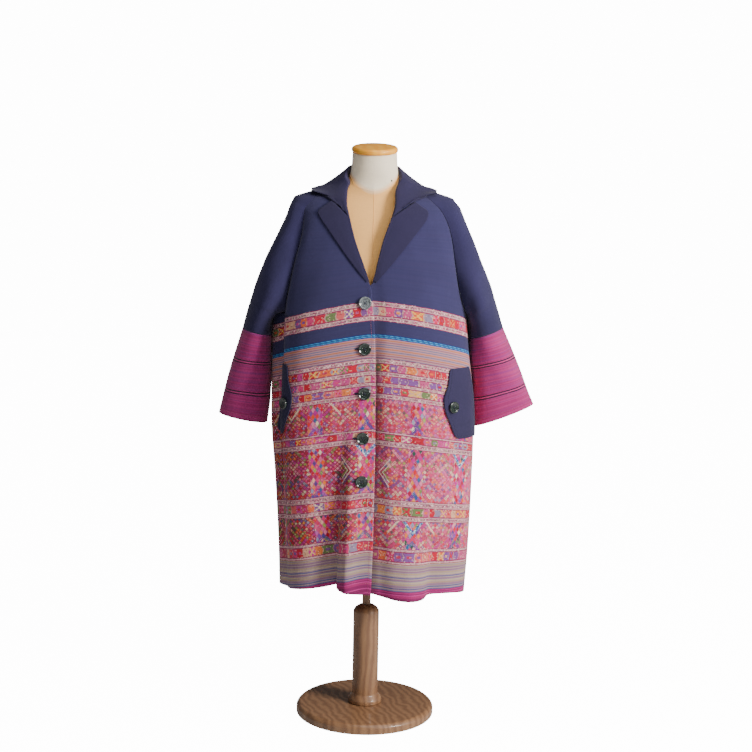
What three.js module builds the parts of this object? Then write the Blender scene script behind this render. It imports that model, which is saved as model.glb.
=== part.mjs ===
// A knee-length woven coat on a limbless dress form with a wooden stand.
// Millimetres, +Z up, the front faces -Y, the origin is the centre of the base's underside.
// "left" and "right" are the wearer's: the right front is on the -X side and laps over.
import * as THREE from 'three';
import { mergeVertices } from 'three/addons/utils/BufferGeometryUtils.js';

// ------------------------------------------------------------------ driving dimensions
const WALL = 2.0;              // thickness of the coat's cloth
const BAND_WALL = 2.2;         // thickness of the collar, lapels and flaps
const SEAM_GAP = 0.3;          // gap between two pieces at a seam
const LAP_SINK = 3.3;          // how far the left front lies below the right front
const LAY_GAP = 1.2;           // clearance below a piece that lies on a panel
const ROLL_RADIUS = 2.8;       // outside radius of the collar's and lapels' rolled edge
const ROLL_REACH = 3.7;        // how far that rolled edge stands off the edge of the front
const UNDERARM = 965;          // height of the underarm point
const NECKLINE = 1274;         // height of the neckline where the front raglan seam ends
const HEM = 330;               // mean height of the hem
const BREAK = 1050;            // height at which the lapels begin to roll
const GORGE = 1197;            // height on the roll line where the lapel meets the collar

// One row per level: half widths at the wearer's right and left, depths, and how square it is.
const BODY = table(['z', 'right', 'left', 'front', 'back', 'power'], [
  [300, 209, 232, 152, 133, 2.35],
  [425, 213, 239, 152, 130, 2.4],
  [573, 222, 243, 152, 126, 2.5],
  [700, 233, 244, 150, 123, 2.6],
  [800, 234, 239, 147, 121, 2.65],
  [877, 233, 229, 145, 119, 2.6],
  [965, 230, 221, 142, 116, 2.6],
  [1000, 225, 218, 140, 114, 2.6],
  [1040, 217, 214, 136, 112, 2.6],
  [1090, 208, 210, 126, 109, 2.6],
  [1141, 201, 207, 112, 104, 2.5],
  [1181, 198, 203, 97, 98, 2.4],
  [1205, 195, 199, 87, 93, 2.2],
  [1217, 191, 194, 82, 90, 1.95],
  [1230, 186, 186, 77, 86, 1.65],
  [1238, 179, 176, 74, 83, 1.45],
  [1244, 164, 162, 71, 80, 1.35],
  [1254, 130, 132, 66, 75, 1.35],
  [1264, 100, 102, 62, 70, 1.45],
  [1274, 80, 80, 59, 66, 1.6],
  [1284, 66, 64, 57, 62, 1.9],
  [1296, 60, 60, 54, 60, 2.0],
]);

// Large soft folds: where each runs (degrees round from the front, + to the wearer's left),
// its half widths on either side in degrees, and its height (+ ridge, - trough) at both ends.
const FOLDS = table([
  'low', 'high', 'angle_low', 'angle_high', 'toward_right', 'toward_left', 'size_low', 'size_high', 'fade',
], [
  [300, 720, -35, -24, 22, 6, -44, -4, 60],
  [300, 690, -18, -14, 6, 9, 7, 1, 60],
  [430, 1130, -76, -77, 9, 8, -16, -34, 110],
  [560, 800, -77, -76, 10, 8, 0, -13, 120],
  [300, 560, 32, 30, 9, 9, 15, 2, 90],
  [300, 540, 53, 50, 6, 9, -20, -3, 90],
  [300, 700, 128, 124, 10, 12, 14, 3, 120],
  [300, 760, 152, 156, 9, 9, -15, -3, 120],
  [300, 760, -150, -154, 10, 9, -13, -4, 120],
  [300, 820, -172, -176, 9, 10, 12, 3, 120],
  [300, 640, -118, -121, 10, 10, 13, 2, 120],
]);

// Height of the hem above or below its mean, by the place across the front and back.
const HEM_LINE = table(['angle', 'rise'], [
  [-180, -16], [-120, -15], [-90, -14], [-66, -6], [-45, 6], [-30, 16], [-22, 10], [-8, 4],
  [5, 2], [14, -3], [28, -10], [42, -11], [52, -5], [64, -6], [78, -14], [90, -22], [120, -18], [180, -16],
]);

// Front edges, from the hem up over the break to the neckline: x of each front's inner edge.
const RIGHT_EDGE = table(['z', 'x'], [
  [300, 9], [440, 12], [560, 13], [700, 13], [878, 10], [944, 7], [1018, 0], [BREAK, -5],
  [1097, -22], [1145, -40], [GORGE, -54], [1225, -61], [1250, -65], [NECKLINE, -64],
]);
const LEFT_EDGE = table(['z', 'x'], [
  [300, -38], [980, -38], [1010, -34], [1030, -12], [BREAK, 2], [1097, 11],
  [1146, 23], [GORGE, 41], [1222, 48], [1250, 53], [NECKLINE, 58],
]);

// Raglan seams: how far out across the body (1 is the side) they lie, per level.
const SEAM = table(['z', 'front_right', 'front_left', 'back'], [
  [UNDERARM, 1, 1, 1],
  [1000, 0.93, 0.94, 0.94],
  [1052, 0.897, 0.905, 0.905],
  [1090, 0.878, 0.89, 0.885],
  [1141, 0.861, 0.87, 0.86],
  [1181, 0.848, 0.835, 0.83],
  [1205, 0.841, 0.79, 0.8],
  [1217, 0.817, 0.765, 0.78],
  [1230, 0.763, 0.72, 0.76],
  [1244, 0.755, 0.715, 0.75],
  [1254, 0.815, 0.8, 0.79],
  [1264, 0.87, 0.86, 0.82],
  [NECKLINE, 0.89, 0.9, 0.84],
]);

// Sleeve rows from the neckline down: the level of the raglan seam, the outer line at both sides,
// the direction in which the cloth leaves the seam (degrees, + forwards) and the two handles
// that set how full it is.
const SLEEVE = table(['seam', 'right_x', 'right_z', 'left_x', 'left_z', 'lean', 'handle_in', 'handle_out'], [
  [NECKLINE, 65, 1284, 65, 1284, -30, 8, 10],
  [1264, 86, 1271, 86, 1271, -30, 8, 11],
  [1254, 115, 1260, 114, 1260, -30, 9, 13],
  [1244, 150, 1248.5, 146, 1250, -28, 12, 17],
  [1230, 181, 1238, 180, 1239, -25, 18, 27],
  [1217, 188, 1228, 189, 1229, -20, 19, 34],
  [1205, 194, 1216, 199, 1218, -14, 21, 42],
  [1181, 203, 1191, 209, 1195, -6, 23, 55],
  [1141, 220, 1154, 224, 1159, 6, 25, 70],
  [1090, 241, 1110, 243, 1113, 22, 28, 86],
  [1052, 256, 1074, 257, 1080, 34, 33, 99],
  [1000, 272, 1029, 277, 1033, 58, 50, 110],
  [UNDERARM, 284, 996, 288, 1001, 90, 104, 110],
]);

// The closed part of the sleeves below the underarm: inner and outer line, and half depth.
const ARM = table([
  'inner_z', 'right_inner', 'right_x', 'right_z', 'left_inner', 'left_x', 'left_z',
  'right_half', 'left_half', 'middle',
], [
  [UNDERARM, 231, 284, 996, 222, 288, 1001, 80, 80, 0],
  [940, 233, 294, 962, 225.8, 298, 972, 77, 77, 9],
  [914, 233.8, 302, 930, 228, 307.5, 942, 73, 73, 16],
  [860, 234, 320, 873, 232.4, 331, 890, 66, 64, 23],
  [806, 234.4, 337, 815, 239, 354, 837, 60, 55, 27],
  [752, 237, 349, 766, 243, 371, 793, 55, 46, 28],
  [702, 243.5, 359, 724, 249, 387, 757, 50, 38, 29],
]);
const CUFF_ROW = 2;            // the row of ARM at which the cuff is sewn on

// The collar from the gorge round to the centre back: heading round the neck, height of the
// seam it is sewn to, the roll above it and the outer edge, and how upright it stands there.
const COLLAR = table([
  'angle', 'seam_z', 'roll_x', 'roll_y', 'roll_z', 'edge_x', 'edge_y', 'edge_z', 'stand',
], [
  [0, GORGE, 0, 0, GORGE, 92, 0, 1234, 0],
  [0, 1205, 0, 0, 1212, 108, 0, 1237, 0],
  [0, 1217, 0, 0, 1212, 125, 0, 1244, 0],
  [0, 1230, 0, 0, 1230, 142, -34, 1251, 0.05],
  [0, 1254, 0, 0, 1256, 144, -14, 1254, 0.2],
  [58, 1266, 57, -37, 1272.5, 144, -3, 1254, 0.35],
  [64, 1276, 64, -29, 1285, 143, 8, 1254, 0.5],
  [90, 1283, 61.5, -6, 1302, 139, 34, 1245, 0.8],
  [118, 1284, 57, 22, 1309, 122, 66, 1236, 1],
  [146, 1288, 39, 47, 1312, 84, 98, 1229, 1],
  [165, 1291, 19, 59, 1314, 42, 109, 1225, 1],
  [180, 1292, 0, 62, 1315, 0, 112, 1224, 1],
]);

// Lapels: share of the way up the roll, and where the outer edge lies across and up.
const LAPEL = table(['share', 'right_x', 'right_z', 'left_x', 'left_z'], [
  [0, -14, 1052, 15, 1052],
  [0.3, -42, 1088, 40, 1088],
  [0.6, -84, 1143, 86, 1146],
  [0.8, -117, 1188, 119, 1190],
  [0.88, -127, 1202, 125, 1205],
  [1, -94.5, 1229.5, 93, 1229.5],
]);

// Pocket flaps: where their edges lie round the body in degrees, and their clearance from it.
const FLAP = table(['z', 'inner', 'outer', 'clearance'], [
  [693, 65, 78, 2.8], [699, 61.5, 79.5, 2.8], [730, 57.5, 78.5, 2.8], [763, 54.2, 77.5, 2.8],
  [791, 53.8, 76.5, 2.8], [818, 56.5, 75.5, 2.6], [851, 58.5, 74.5, 1.7], [856, 60, 73.5, 1],
]);
const FLAP_TURN = -3;          // the right flap sits this many degrees further back

const BUTTONS = table(['z', 'x'], [[1006, -15], [902, -14], [801, -13], [699, -15], [599, -16]]);
const BUTTON = { radius: 14.5, rim: 4.6, dish: 2.6, lift: 1.6, shank: 4, gap: 0.35 };
const FLAP_BUTTON = { z: 768, angle: 59.5, radius: 13.5 };

// Dress form: one row per level, half width and depths.
const FORM = table(['z', 'half', 'front', 'back', 'power'], [
  [640, 150, 92, 92, 2], [648, 166, 100, 100, 2], [700, 178, 108, 108, 2], [760, 176, 108, 106, 2],
  [850, 150, 98, 90, 2], [905, 135, 92, 84, 2], [980, 145, 108, 88, 2], [1050, 160, 118, 92, 2],
  [1090, 166, 112, 92, 2], [1140, 172, 92, 86, 2], [1180, 176, 76, 78, 2], [1205, 177, 64, 70, 2],
  [1222, 176, 55, 62, 1.8], [1232, 171.5, 50, 57, 1.6], [1240.5, 164, 47, 54, 1.4],
  [1245.6, 149, 46, 53, 1.35], [1257.1, 112, 45, 51, 1.4], [1266, 84, 44, 50, 1.55],
  [1270.5, 71, 43.5, 49.5, 1.75], [1274.5, 62, 43.5, 49, 1.9], [1281, 55.5, 44, 48, 2],
  [1294, 52.5, 46, 46, 2], [1311, 51, 47.5, 46.5, 2], [1326, 50, 48, 47, 2],
]);
const NECK_LEAN = 7;           // the neck leans forwards by this much at its top
const CAP = { radius: 53.5, thickness: 13, middle: 1347.5, tilt: 9.5, forward: 8 };
const POLE = { radius: 10, bottom: 268, top: 639.7 };
const COLUMN = { radius: 31, bottom: 24.3, shoulder: 252, top: 267.5 };
const BASE = { radius: 165, height: 24, round: 7 };

// How the fronts and the back are divided: levels, columns, and where the columns change width.
const ROWS_BELOW = [330, 372, 425, 485, 550, 615, 680, 745, 810, 870, 920];
const LEVELS = [...ROWS_BELOW, ...SEAM.map((row) => row.z)];
const FRONT_COLUMNS = 16;
const BACK_COLUMNS = 21;
const CORNER_SHARE = 11 / 16;  // this share of a front's columns lies ahead of its corner
const CORNER = 0.78;           // and that share of the way round to the seam
const CORNER_WIDEST = 72;      // degrees of the way round that count for it
const LAPEL_LEVELS = [1054, 1072, 1090, 1107, 1124, 1141, 1155, 1168, 1181, 1189, 1196];

// How the collar and lapels fold over their rolled edge.
const UNDER = WALL + 0.8 + BAND_WALL;     // depth of a roll's inside layer below the cloth
const OVER = LAY_GAP + BAND_WALL;         // height of its outside layer above the cloth
const COLLAR_INSET = 3.5;      // how much deeper its stand lies inside the neckline
const COLLAR_SPRING = 2;       // how much the collar's fall arches over the shoulder
const COLLAR_LIFT = 4;         // and how much further it stands off the cloth there
const COLLAR_REACH = 26;       // how far its roll runs past the front's edge where it stands up
const COLLAR_SET = 0.6;        // how far its roll lies below the cloth beside the lapel
const COLLAR_HALF = 2.75;      // half the depth of its fold where it stands up

const NAVY = '#2b2a55';
const NAVY_DARK = '#262548';
const MAGENTA = '#b03a7c';
const WOVEN = '#c4667f';
const LINEN = '#e6d6bd';
const WOOD = '#d9a85c';
const WOOD_DARK = '#7a5a40';
const SHELL = '#2f3433';

const SAME = 1e-6;             // points nearer than this are one point
const MERGE = 2e-3;            // corners nearer than this are merged

// ------------------------------------------------------------------ tables and small maths
function table(names, rows) {
  return rows.map((row) => Object.fromEntries(names.map((name, i) => [name, row[i]])));
}

// A smooth curve through one column of a table, by its first column or another one.
function at(rows, name, value, by = Object.keys(rows[0])[0]) {
  const last = rows.length - 1;
  if (value <= rows[0][by]) return rows[0][name];
  if (value >= rows[last][by]) return rows[last][name];
  let i = 0;
  while (value > rows[i + 1][by]) i += 1;
  const slope = (k) => {
    const a = rows[Math.max(k - 1, 0)];
    const b = rows[Math.min(k + 1, last)];
    return (b[name] - a[name]) / (b[by] - a[by]);
  };
  const span = rows[i + 1][by] - rows[i][by];
  const t = (value - rows[i][by]) / span;
  const start = rows[i][name] * (2 * t ** 3 - 3 * t ** 2 + 1) + slope(i) * span * (t ** 3 - 2 * t ** 2 + t);
  const end = rows[i + 1][name] * (3 * t ** 2 - 2 * t ** 3) + slope(i + 1) * span * (t ** 3 - t ** 2);
  return start + end;
}

const { degToRad, clamp, lerp, smoothstep } = THREE.MathUtils;
const vec = (x, y, z) => new THREE.Vector3(x, y, z);
const steps = (n) => Array.from({ length: n + 1 }, (_, i) => i / n);

// ------------------------------------------------------------------ the coat's body
// Height of all folds together at a heading (degrees) and level.
function foldHeight(angle, z) {
  let sum = 0;
  for (const fold of FOLDS) {
    const along = clamp((z - fold.low) / (fold.high - fold.low), 0, 1);
    const off = ((angle - lerp(fold.angle_low, fold.angle_high, along) + 540) % 360) - 180;
    const width = off < 0 ? fold.toward_right : fold.toward_left;
    const ends = 1 - smoothstep(z, fold.high, fold.high + fold.fade);
    sum += lerp(fold.size_low, fold.size_high, along) * ends * Math.exp(-((off / width) ** 2));
  }
  return sum;
}

// The outer face of the cloth at a heading (degrees, 0 is the front) and level.
function bodyPoint(angle, z, out = 0) {
  const turn = degToRad(angle);
  const across = Math.abs(Math.sin(turn)) / at(BODY, angle < 0 ? 'right' : 'left', z);
  const deep = Math.abs(Math.cos(turn)) / at(BODY, Math.abs(angle) < 90 ? 'front' : 'back', z);
  const power = at(BODY, 'power', z);
  const radius = (across ** power + deep ** power) ** (-1 / power) + foldHeight(angle, z) + out;
  return vec(radius * Math.sin(turn), -radius * Math.cos(turn), z);
}

// The heading at which the body is a given distance across.
function heading(x, z, back = false) {
  const share = clamp(Math.abs(x) / at(BODY, x < 0 ? 'right' : 'left', z), 0, 1);
  const power = at(BODY, 'power', z);
  const depth = at(BODY, back ? 'back' : 'front', z) * (1 - share ** power) ** (1 / power);
  return THREE.MathUtils.radToDeg(Math.atan2(x, back ? -depth : depth));
}

// The same surface with its outward direction, found from two neighbouring points.
function bodyNormal(angle, z) {
  const here = bodyPoint(angle, z);
  const round = bodyPoint(angle + 0.5, z).sub(here);
  const up = bodyPoint(angle, z + 1).sub(here);
  return round.cross(up).normalize();
}

// Rows near the hem follow its line, and rows higher up are level.
function hemmed(z, angle) {
  return z + at(HEM_LINE, 'rise', angle) * (1 - smoothstep(z, HEM, HEM + 200));
}

function seamHeading(side, z, back) {
  const name = back ? 'back' : side < 0 ? 'front_right' : 'front_left';
  if (z <= UNDERARM) return side * 90;
  const share = at(SEAM, name, z) * at(BODY, side < 0 ? 'right' : 'left', z);
  return heading(side * share, z, back);
}

// The point of a raglan seam at one of its levels. The back seam ends a little higher.
function seamPoint(side, z, back) {
  const level = back ? z + backRise(z, 0) : z;
  return bodyPoint(seamHeading(side, level, back), level);
}

function backRise(z, middle) {
  return smoothstep(z, 1205, NECKLINE) * lerp(4, 18, middle);
}

// How far a point of the left front is tucked under the right one: 1 is all the way.
function lapShare(x, level) {
  const cover = at(RIGHT_EDGE, 'x', level);
  return (1 - smoothstep(x, cover + 6, cover + 34)) * (1 - smoothstep(level, BREAK - 10, BREAK + 45));
}

function frontGrid(side) {
  const edge = side < 0 ? RIGHT_EDGE : LEFT_EDGE;
  const normals = [];
  const grid = LEVELS.map((level) => {
    const recess = level > BREAK - 5 ? side * ROLL_REACH : 0;
    const inner = at(edge, 'x', level) + recess;
    const from = heading(inner, level);
    const to = seamHeading(side, level, false);
    const even = side * lerp(from, to, CORNER_SHARE);
    const turn = side * Math.max(CORNER * Math.min(Math.abs(to), CORNER_WIDEST), even);
    return steps(FRONT_COLUMNS).map((share) => {
      const angle = share < CORNER_SHARE
        ? lerp(from, turn, share / CORNER_SHARE)
        : lerp(turn, to, (share - CORNER_SHARE) / (1 - CORNER_SHARE));
      const z = hemmed(level, angle);
      const point = bodyPoint(angle, z);
      normals.push(bodyNormal(angle, z));
      const sunk = side > 0 ? LAP_SINK * lapShare(point.x, level) : 0;
      return point.addScaledVector(normals[normals.length - 1], -sunk);
    });
  });
  return withNormals(grid, normals);
}

// Keeps the outward directions of a grid's points with it, in rows as the points are.
function withNormals(grid, normals) {
  const columns = grid[0].length;
  grid.normals = grid.map((row, i) => normals.slice(i * columns, (i + 1) * columns));
  return grid;
}

function backGrid() {
  const normals = [];
  const grid = LEVELS.map((level) => {
    const from = seamHeading(1, level + backRise(level, 0), true);
    const to = 360 + seamHeading(-1, level + backRise(level, 0), true);
    return steps(BACK_COLUMNS).map((share) => {
      const angle = lerp(from, to, share);
      const signed = angle > 180 ? angle - 360 : angle;
      const z = hemmed(level, signed) + backRise(level, Math.sin(Math.PI * share));
      normals.push(bodyNormal(signed, z));
      return bodyPoint(signed, z);
    });
  });
  return withNormals(grid, normals);
}

// ------------------------------------------------------------------ the sleeves
// Half a row of the sleeve: a cubic curve from the seam over to the outer line.
function sleeveArc(start, outer, lean, handleIn, handleOut, forward) {
  const across = vec(outer.x - start.x, 0, outer.z - start.z).normalize();
  const turn = degToRad(lean);
  const leave = across.multiplyScalar(Math.cos(turn)).add(vec(0, -forward * Math.sin(turn), 0));
  const curve = new THREE.CubicBezierCurve3(start, start.clone().addScaledVector(leave, handleIn),
    outer.clone().add(vec(0, -forward * handleOut, 0)), outer);
  return curve.getPoints(10);
}

function sleeveRow(side, front, back, outer, lean, handleIn, handleOut) {
  const ahead = sleeveArc(front, outer, lean, handleIn, handleOut, 1);
  const behind = sleeveArc(back, outer, lean, handleIn, handleOut, -1);
  return [...ahead, ...behind.reverse().slice(1)];
}

function armRow(side, row) {
  const name = side < 0 ? 'right' : 'left';
  const inner = vec(side * row[`${name}_inner`], row.middle, row.inner_z);
  const outer = vec(side * row[`${name}_x`], row.middle, row[`${name}_z`]);
  const handle = row[`${name}_half`] / 0.75;
  return sleeveRow(side, inner, inner, outer, 90, handle, handle);
}

function sleeveGrid(side) {
  const name = side < 0 ? 'right' : 'left';
  const open = SLEEVE.slice(0, -1).map((row) => {
    const outer = vec(side * row[`${name}_x`], 0, row[`${name}_z`]);
    const clear = 0.5 * (1 - smoothstep(row.seam, 1000, 1141));
    const front = seamPoint(side, row.seam, false);
    const back = seamPoint(side, row.seam, true);
    front.x += side * clear;
    back.x += side * clear;
    return sleeveRow(side, front, back, outer, row.lean, row.handle_in, row.handle_out);
  });
  const closed = ARM.slice(0, CUFF_ROW + 1).map((row) => armRow(side, row));
  return [...open, ...closed];
}

function cuffGrid(side) {
  return ARM.slice(CUFF_ROW).map((row) => armRow(side, row));
}

// ------------------------------------------------------------------ closed walls
// Outward direction at each point of a grid, from its neighbours in the row and in the column.
function gridNormals(grid, facing) {
  const rows = grid.length;
  const columns = grid[0].length;
  const normals = grid.map((row, i) => row.map((point, j) => {
    const across = row[Math.min(j + 1, columns - 1)].clone().sub(row[Math.max(j - 1, 0)]);
    const along = grid[Math.min(i + 1, rows - 1)][j].clone().sub(grid[Math.max(i - 1, 0)][j]);
    return across.cross(along).normalize().multiplyScalar(facing);
  }));
  grid.forEach((row, i) => {
    if (row[0].distanceTo(row[columns - 1]) > SAME) return;
    const shared = normals[i][0].clone().add(normals[i][columns - 1]).normalize();
    normals[i][0] = shared;
    normals[i][columns - 1] = shared.clone();
  });
  return normals;
}

// Moves the border of a grid back from its seams by half the gap.
function pullBack(grid, { first, last, top, bottom }) {
  const half = SEAM_GAP / 2;
  const move = (point, toward) => {
    const step = toward.clone().sub(point);
    const length = Math.min(half, step.length() / 3);
    if (length > SAME) point.addScaledVector(step.normalize(), length);
  };
  grid.forEach((row) => {
    const n = row.length - 1;
    if (first) move(row[0], row[1].clone());
    if (last) move(row[n], row[n - 1].clone());
  });
  const m = grid.length - 1;
  if (bottom) grid[0].forEach((point, j) => move(point, grid[1][j].clone()));
  if (top) grid[m].forEach((point, j) => move(point, grid[m - 1][j].clone()));
  return grid;
}

// A closed solid: the grid is its outer face, and the inner face lies one thickness below it.
function wall(grid, facing, thickness = WALL) {
  const normals = grid.normals ?? gridNormals(grid, facing);
  const inner = grid.map((row, i) => row.map((point, j) => {
    return point.clone().addScaledVector(normals[i][j], -thickness);
  }));
  const corners = [];
  const quad = (a, b, c, d) => corners.push(a, b, c, a, c, d);
  const m = grid.length - 1;
  const n = grid[0].length - 1;
  for (let i = 0; i < m; i += 1) {
    for (let j = 0; j < n; j += 1) {
      quad(grid[i][j], grid[i][j + 1], grid[i + 1][j + 1], grid[i + 1][j]);
      quad(inner[i][j], inner[i + 1][j], inner[i + 1][j + 1], inner[i][j + 1]);
    }
    const closed = [i, i + 1].every((k) => grid[k][0].distanceTo(grid[k][n]) < SAME);
    if (!closed) {
      quad(grid[i][0], grid[i + 1][0], inner[i + 1][0], inner[i][0]);
      quad(grid[i][n], inner[i][n], inner[i + 1][n], grid[i + 1][n]);
    }
  }
  for (let j = 0; j < n; j += 1) {
    quad(grid[0][j], inner[0][j], inner[0][j + 1], grid[0][j + 1]);
    quad(grid[m][j], grid[m][j + 1], inner[m][j + 1], inner[m][j]);
  }
  return solidFrom(corners);
}

// Merges shared corners, drops flat triangles and turns the solid the right way out.
function solidFrom(corners) {
  const loose = new THREE.BufferGeometry();
  const places = corners.flatMap((point) => point.toArray());
  loose.setAttribute('position', new THREE.Float32BufferAttribute(places, 3));
  const merged = mergeVertices(loose, MERGE);
  const index = merged.getIndex().array;
  const kept = [];
  for (let i = 0; i < index.length; i += 3) {
    const [a, b, c] = [index[i], index[i + 1], index[i + 2]];
    if (a !== b && b !== c && a !== c) kept.push(a, b, c);
  }
  const place = (k) => new THREE.Vector3().fromBufferAttribute(merged.getAttribute('position'), k);
  let volume = 0;
  for (let i = 0; i < kept.length; i += 3) {
    volume += place(kept[i]).dot(place(kept[i + 1]).cross(place(kept[i + 2])));
  }
  if (volume < 0) kept.reverse();
  merged.setIndex(kept);
  return merged;
}

// ------------------------------------------------------------------ pieces that lie on the panels
// The point of a row at a heading, on the straight line between its two neighbours there.
function atHeading(row, angle, side) {
  const turns = row.map((point) => side * THREE.MathUtils.radToDeg(Math.atan2(point.x, -point.y)));
  let j = 0;
  while (j < row.length - 2 && turns[j + 1] < side * angle) j += 1;
  return row[j].clone().lerp(row[j + 1], (side * angle - turns[j]) / (turns[j + 1] - turns[j]));
}

// A place on a front's own facets, and the direction out of the cloth there.
function onFront(side, angle, z) {
  const grid = FRONTS[side];
  const spot = (turn, level) => {
    let i = 0;
    while (i < grid.length - 2 && grid[i + 1][0].z < level) i += 1;
    const below = atHeading(grid[i], turn, side);
    const above = atHeading(grid[i + 1], turn, side);
    return below.lerp(above, (level - below.z) / (above.z - below.z));
  };
  const round = spot(angle + 2, z).sub(spot(angle - 2, z));
  const up = spot(angle, z + 8).sub(spot(angle, z - 8));
  return { point: spot(angle, z), normal: round.cross(up).normalize() };
}

function liftedFrom(side, angle, z, clearance) {
  const { point, normal } = onFront(side, angle, z);
  return point.addScaledVector(normal, clearance);
}

// The inner edge of a front at a level, and the direction out of the cloth there.
function edgeOf(side, z) {
  const grid = FRONTS[side];
  let i = 0;
  while (i < grid.length - 2 && grid[i + 1][0].z < z) i += 1;
  const share = (z - grid[i][0].z) / (grid[i + 1][0].z - grid[i][0].z);
  return {
    point: grid[i][0].clone().lerp(grid[i + 1][0], share),
    normal: grid.normals[i][0].clone().lerp(grid.normals[i + 1][0], share).normalize(),
  };
}

// The level direction along the cloth toward the front opening.
function inward(side, normal) {
  return vec(-side, 0, 0).addScaledVector(normal, side * normal.x).normalize();
}

// A rolled edge seen end on: from inside the panel's edge round to its outer side.
function rollPath(edge, off, normal, under, over) {
  const inside = edge.clone().addScaledVector(normal, -under);
  const turnInside = inside.clone().addScaledVector(off, ROLL_RADIUS * 0.75);
  const tip = edge.clone().addScaledVector(off, ROLL_REACH).addScaledVector(normal, (over - under) / 2);
  const outside = edge.clone().addScaledVector(normal, over);
  const turnOutside = outside.clone().addScaledVector(off, ROLL_RADIUS * 0.75);
  return [inside, turnInside, tip, turnOutside, outside];
}

function lapelGrid(side) {
  const name = side < 0 ? 'right' : 'left';
  const [low] = LAPEL_LEVELS;
  const high = LAPEL_LEVELS[LAPEL_LEVELS.length - 1];
  return LAPEL_LEVELS.map((z) => {
    const share = (z - low) / (high - low);
    const { point, normal } = edgeOf(side, z);
    const outX = at(LAPEL, `${name}_x`, share);
    const outZ = at(LAPEL, `${name}_z`, share);
    const off = inward(side, normal);
    const path = rollPath(point, off, normal, UNDER, OVER);
    const fall = steps(5).slice(1).map((t) => {
      const level = lerp(z, outZ, t);
      return liftedFrom(side, heading(lerp(point.x, outX, t), level), level, OVER);
    });
    return [...path, ...fall];
  });
}

// Pushes a point outwards until it clears the body by a distance.
function clearOfBody(point, clearance) {
  const angle = THREE.MathUtils.radToDeg(Math.atan2(point.x, -point.y));
  const surface = bodyPoint(angle, point.z);
  const normal = bodyNormal(angle, point.z);
  const depth = point.clone().sub(surface).dot(normal);
  return depth < clearance ? point.clone().addScaledVector(normal, clearance - depth) : point;
}

function collarRow(row, side) {
  const onRoll = row.angle === 0;
  const seam = onRoll ? edgeOf(side, row.seam_z) : {
    point: bodyPoint(side * row.angle, row.seam_z),
    normal: bodyNormal(side * row.angle, row.seam_z),
  };
  const flat = row.edge_y === 0;
  const outer = flat
    ? liftedFrom(side, heading(side * row.edge_x, row.edge_z), row.edge_z, OVER)
    : vec(side * row.edge_x, row.edge_y, row.edge_z);
  const off = onRoll ? inward(side, seam.normal) : vec(0, 0, 1);
  const around = vec(seam.point.x, seam.point.y, 0).normalize();
  const lay = seam.normal.clone().lerp(around, row.stand).normalize();
  const shift = side < 0 ? -3 : -2;
  const reach = ROLL_REACH + COLLAR_REACH * row.stand;
  const roll = onRoll
    ? seam.point.clone().addScaledVector(off, reach).addScaledVector(seam.normal, -COLLAR_SET)
    : vec(side * row.roll_x + shift * (1 - row.angle / 180), row.roll_y, row.roll_z);
  const half = lerp((OVER + UNDER) / 2, COLLAR_HALF, row.stand);
  const path = [
    seam.point.clone().addScaledVector(lay, -UNDER - COLLAR_INSET * row.stand),
    roll.clone().addScaledVector(off, -ROLL_RADIUS).addScaledVector(lay, -half),
    roll,
    roll.clone().addScaledVector(off, -ROLL_RADIUS).addScaledVector(lay, half),
  ];
  const fall = steps(6).slice(1).map((t) => {
    const point = path[3].clone().lerp(outer, t);
    point.z += COLLAR_SPRING * row.stand * 4 * t * (1 - t);
    return clearOfBody(point, OVER + COLLAR_LIFT * Math.min(1, 3 * row.stand));
  });
  return [...path, ...fall];
}

function collarGrid() {
  const right = COLLAR.map((row) => collarRow(row, -1));
  const left = COLLAR.slice(0, -1).map((row) => collarRow(row, 1));
  return [...right, ...left.reverse()];
}

function flapGrid(side) {
  const shift = side < 0 ? FLAP_TURN : 0;
  return FLAP.map((row) => steps(12).map((share) => {
    const angle = side * (lerp(row.inner, row.outer, share) - shift);
    return liftedFrom(side, angle, row.z, row.clearance + BAND_WALL);
  }));
}

// ------------------------------------------------------------------ turned pieces
function button(radius) {
  const { rim, dish, lift, shank, gap } = BUTTON;
  const profile = [
    [0, gap], [shank, gap], [shank, lift], [radius * 0.8, lift], [radius, lift + 1.1],
    [radius, lift + rim - 1.6], [radius * 0.86, lift + rim], [radius * 0.66, lift + dish], [0, lift + dish],
  ];
  return turnedSolid(profile, 14);
}

// A profile of radius and height turned round Y.
function turnedSolid(profile, segments) {
  const turned = new THREE.LatheGeometry(profile.map(([r, h]) => new THREE.Vector2(r, h)), segments);
  turned.deleteAttribute('normal');
  turned.deleteAttribute('uv');
  return mergeVertices(turned, MERGE);
}

// The same turned round Z.
function lathe(profile, segments) {
  return turnedSolid(profile, segments).rotateX(Math.PI / 2);
}

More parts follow.
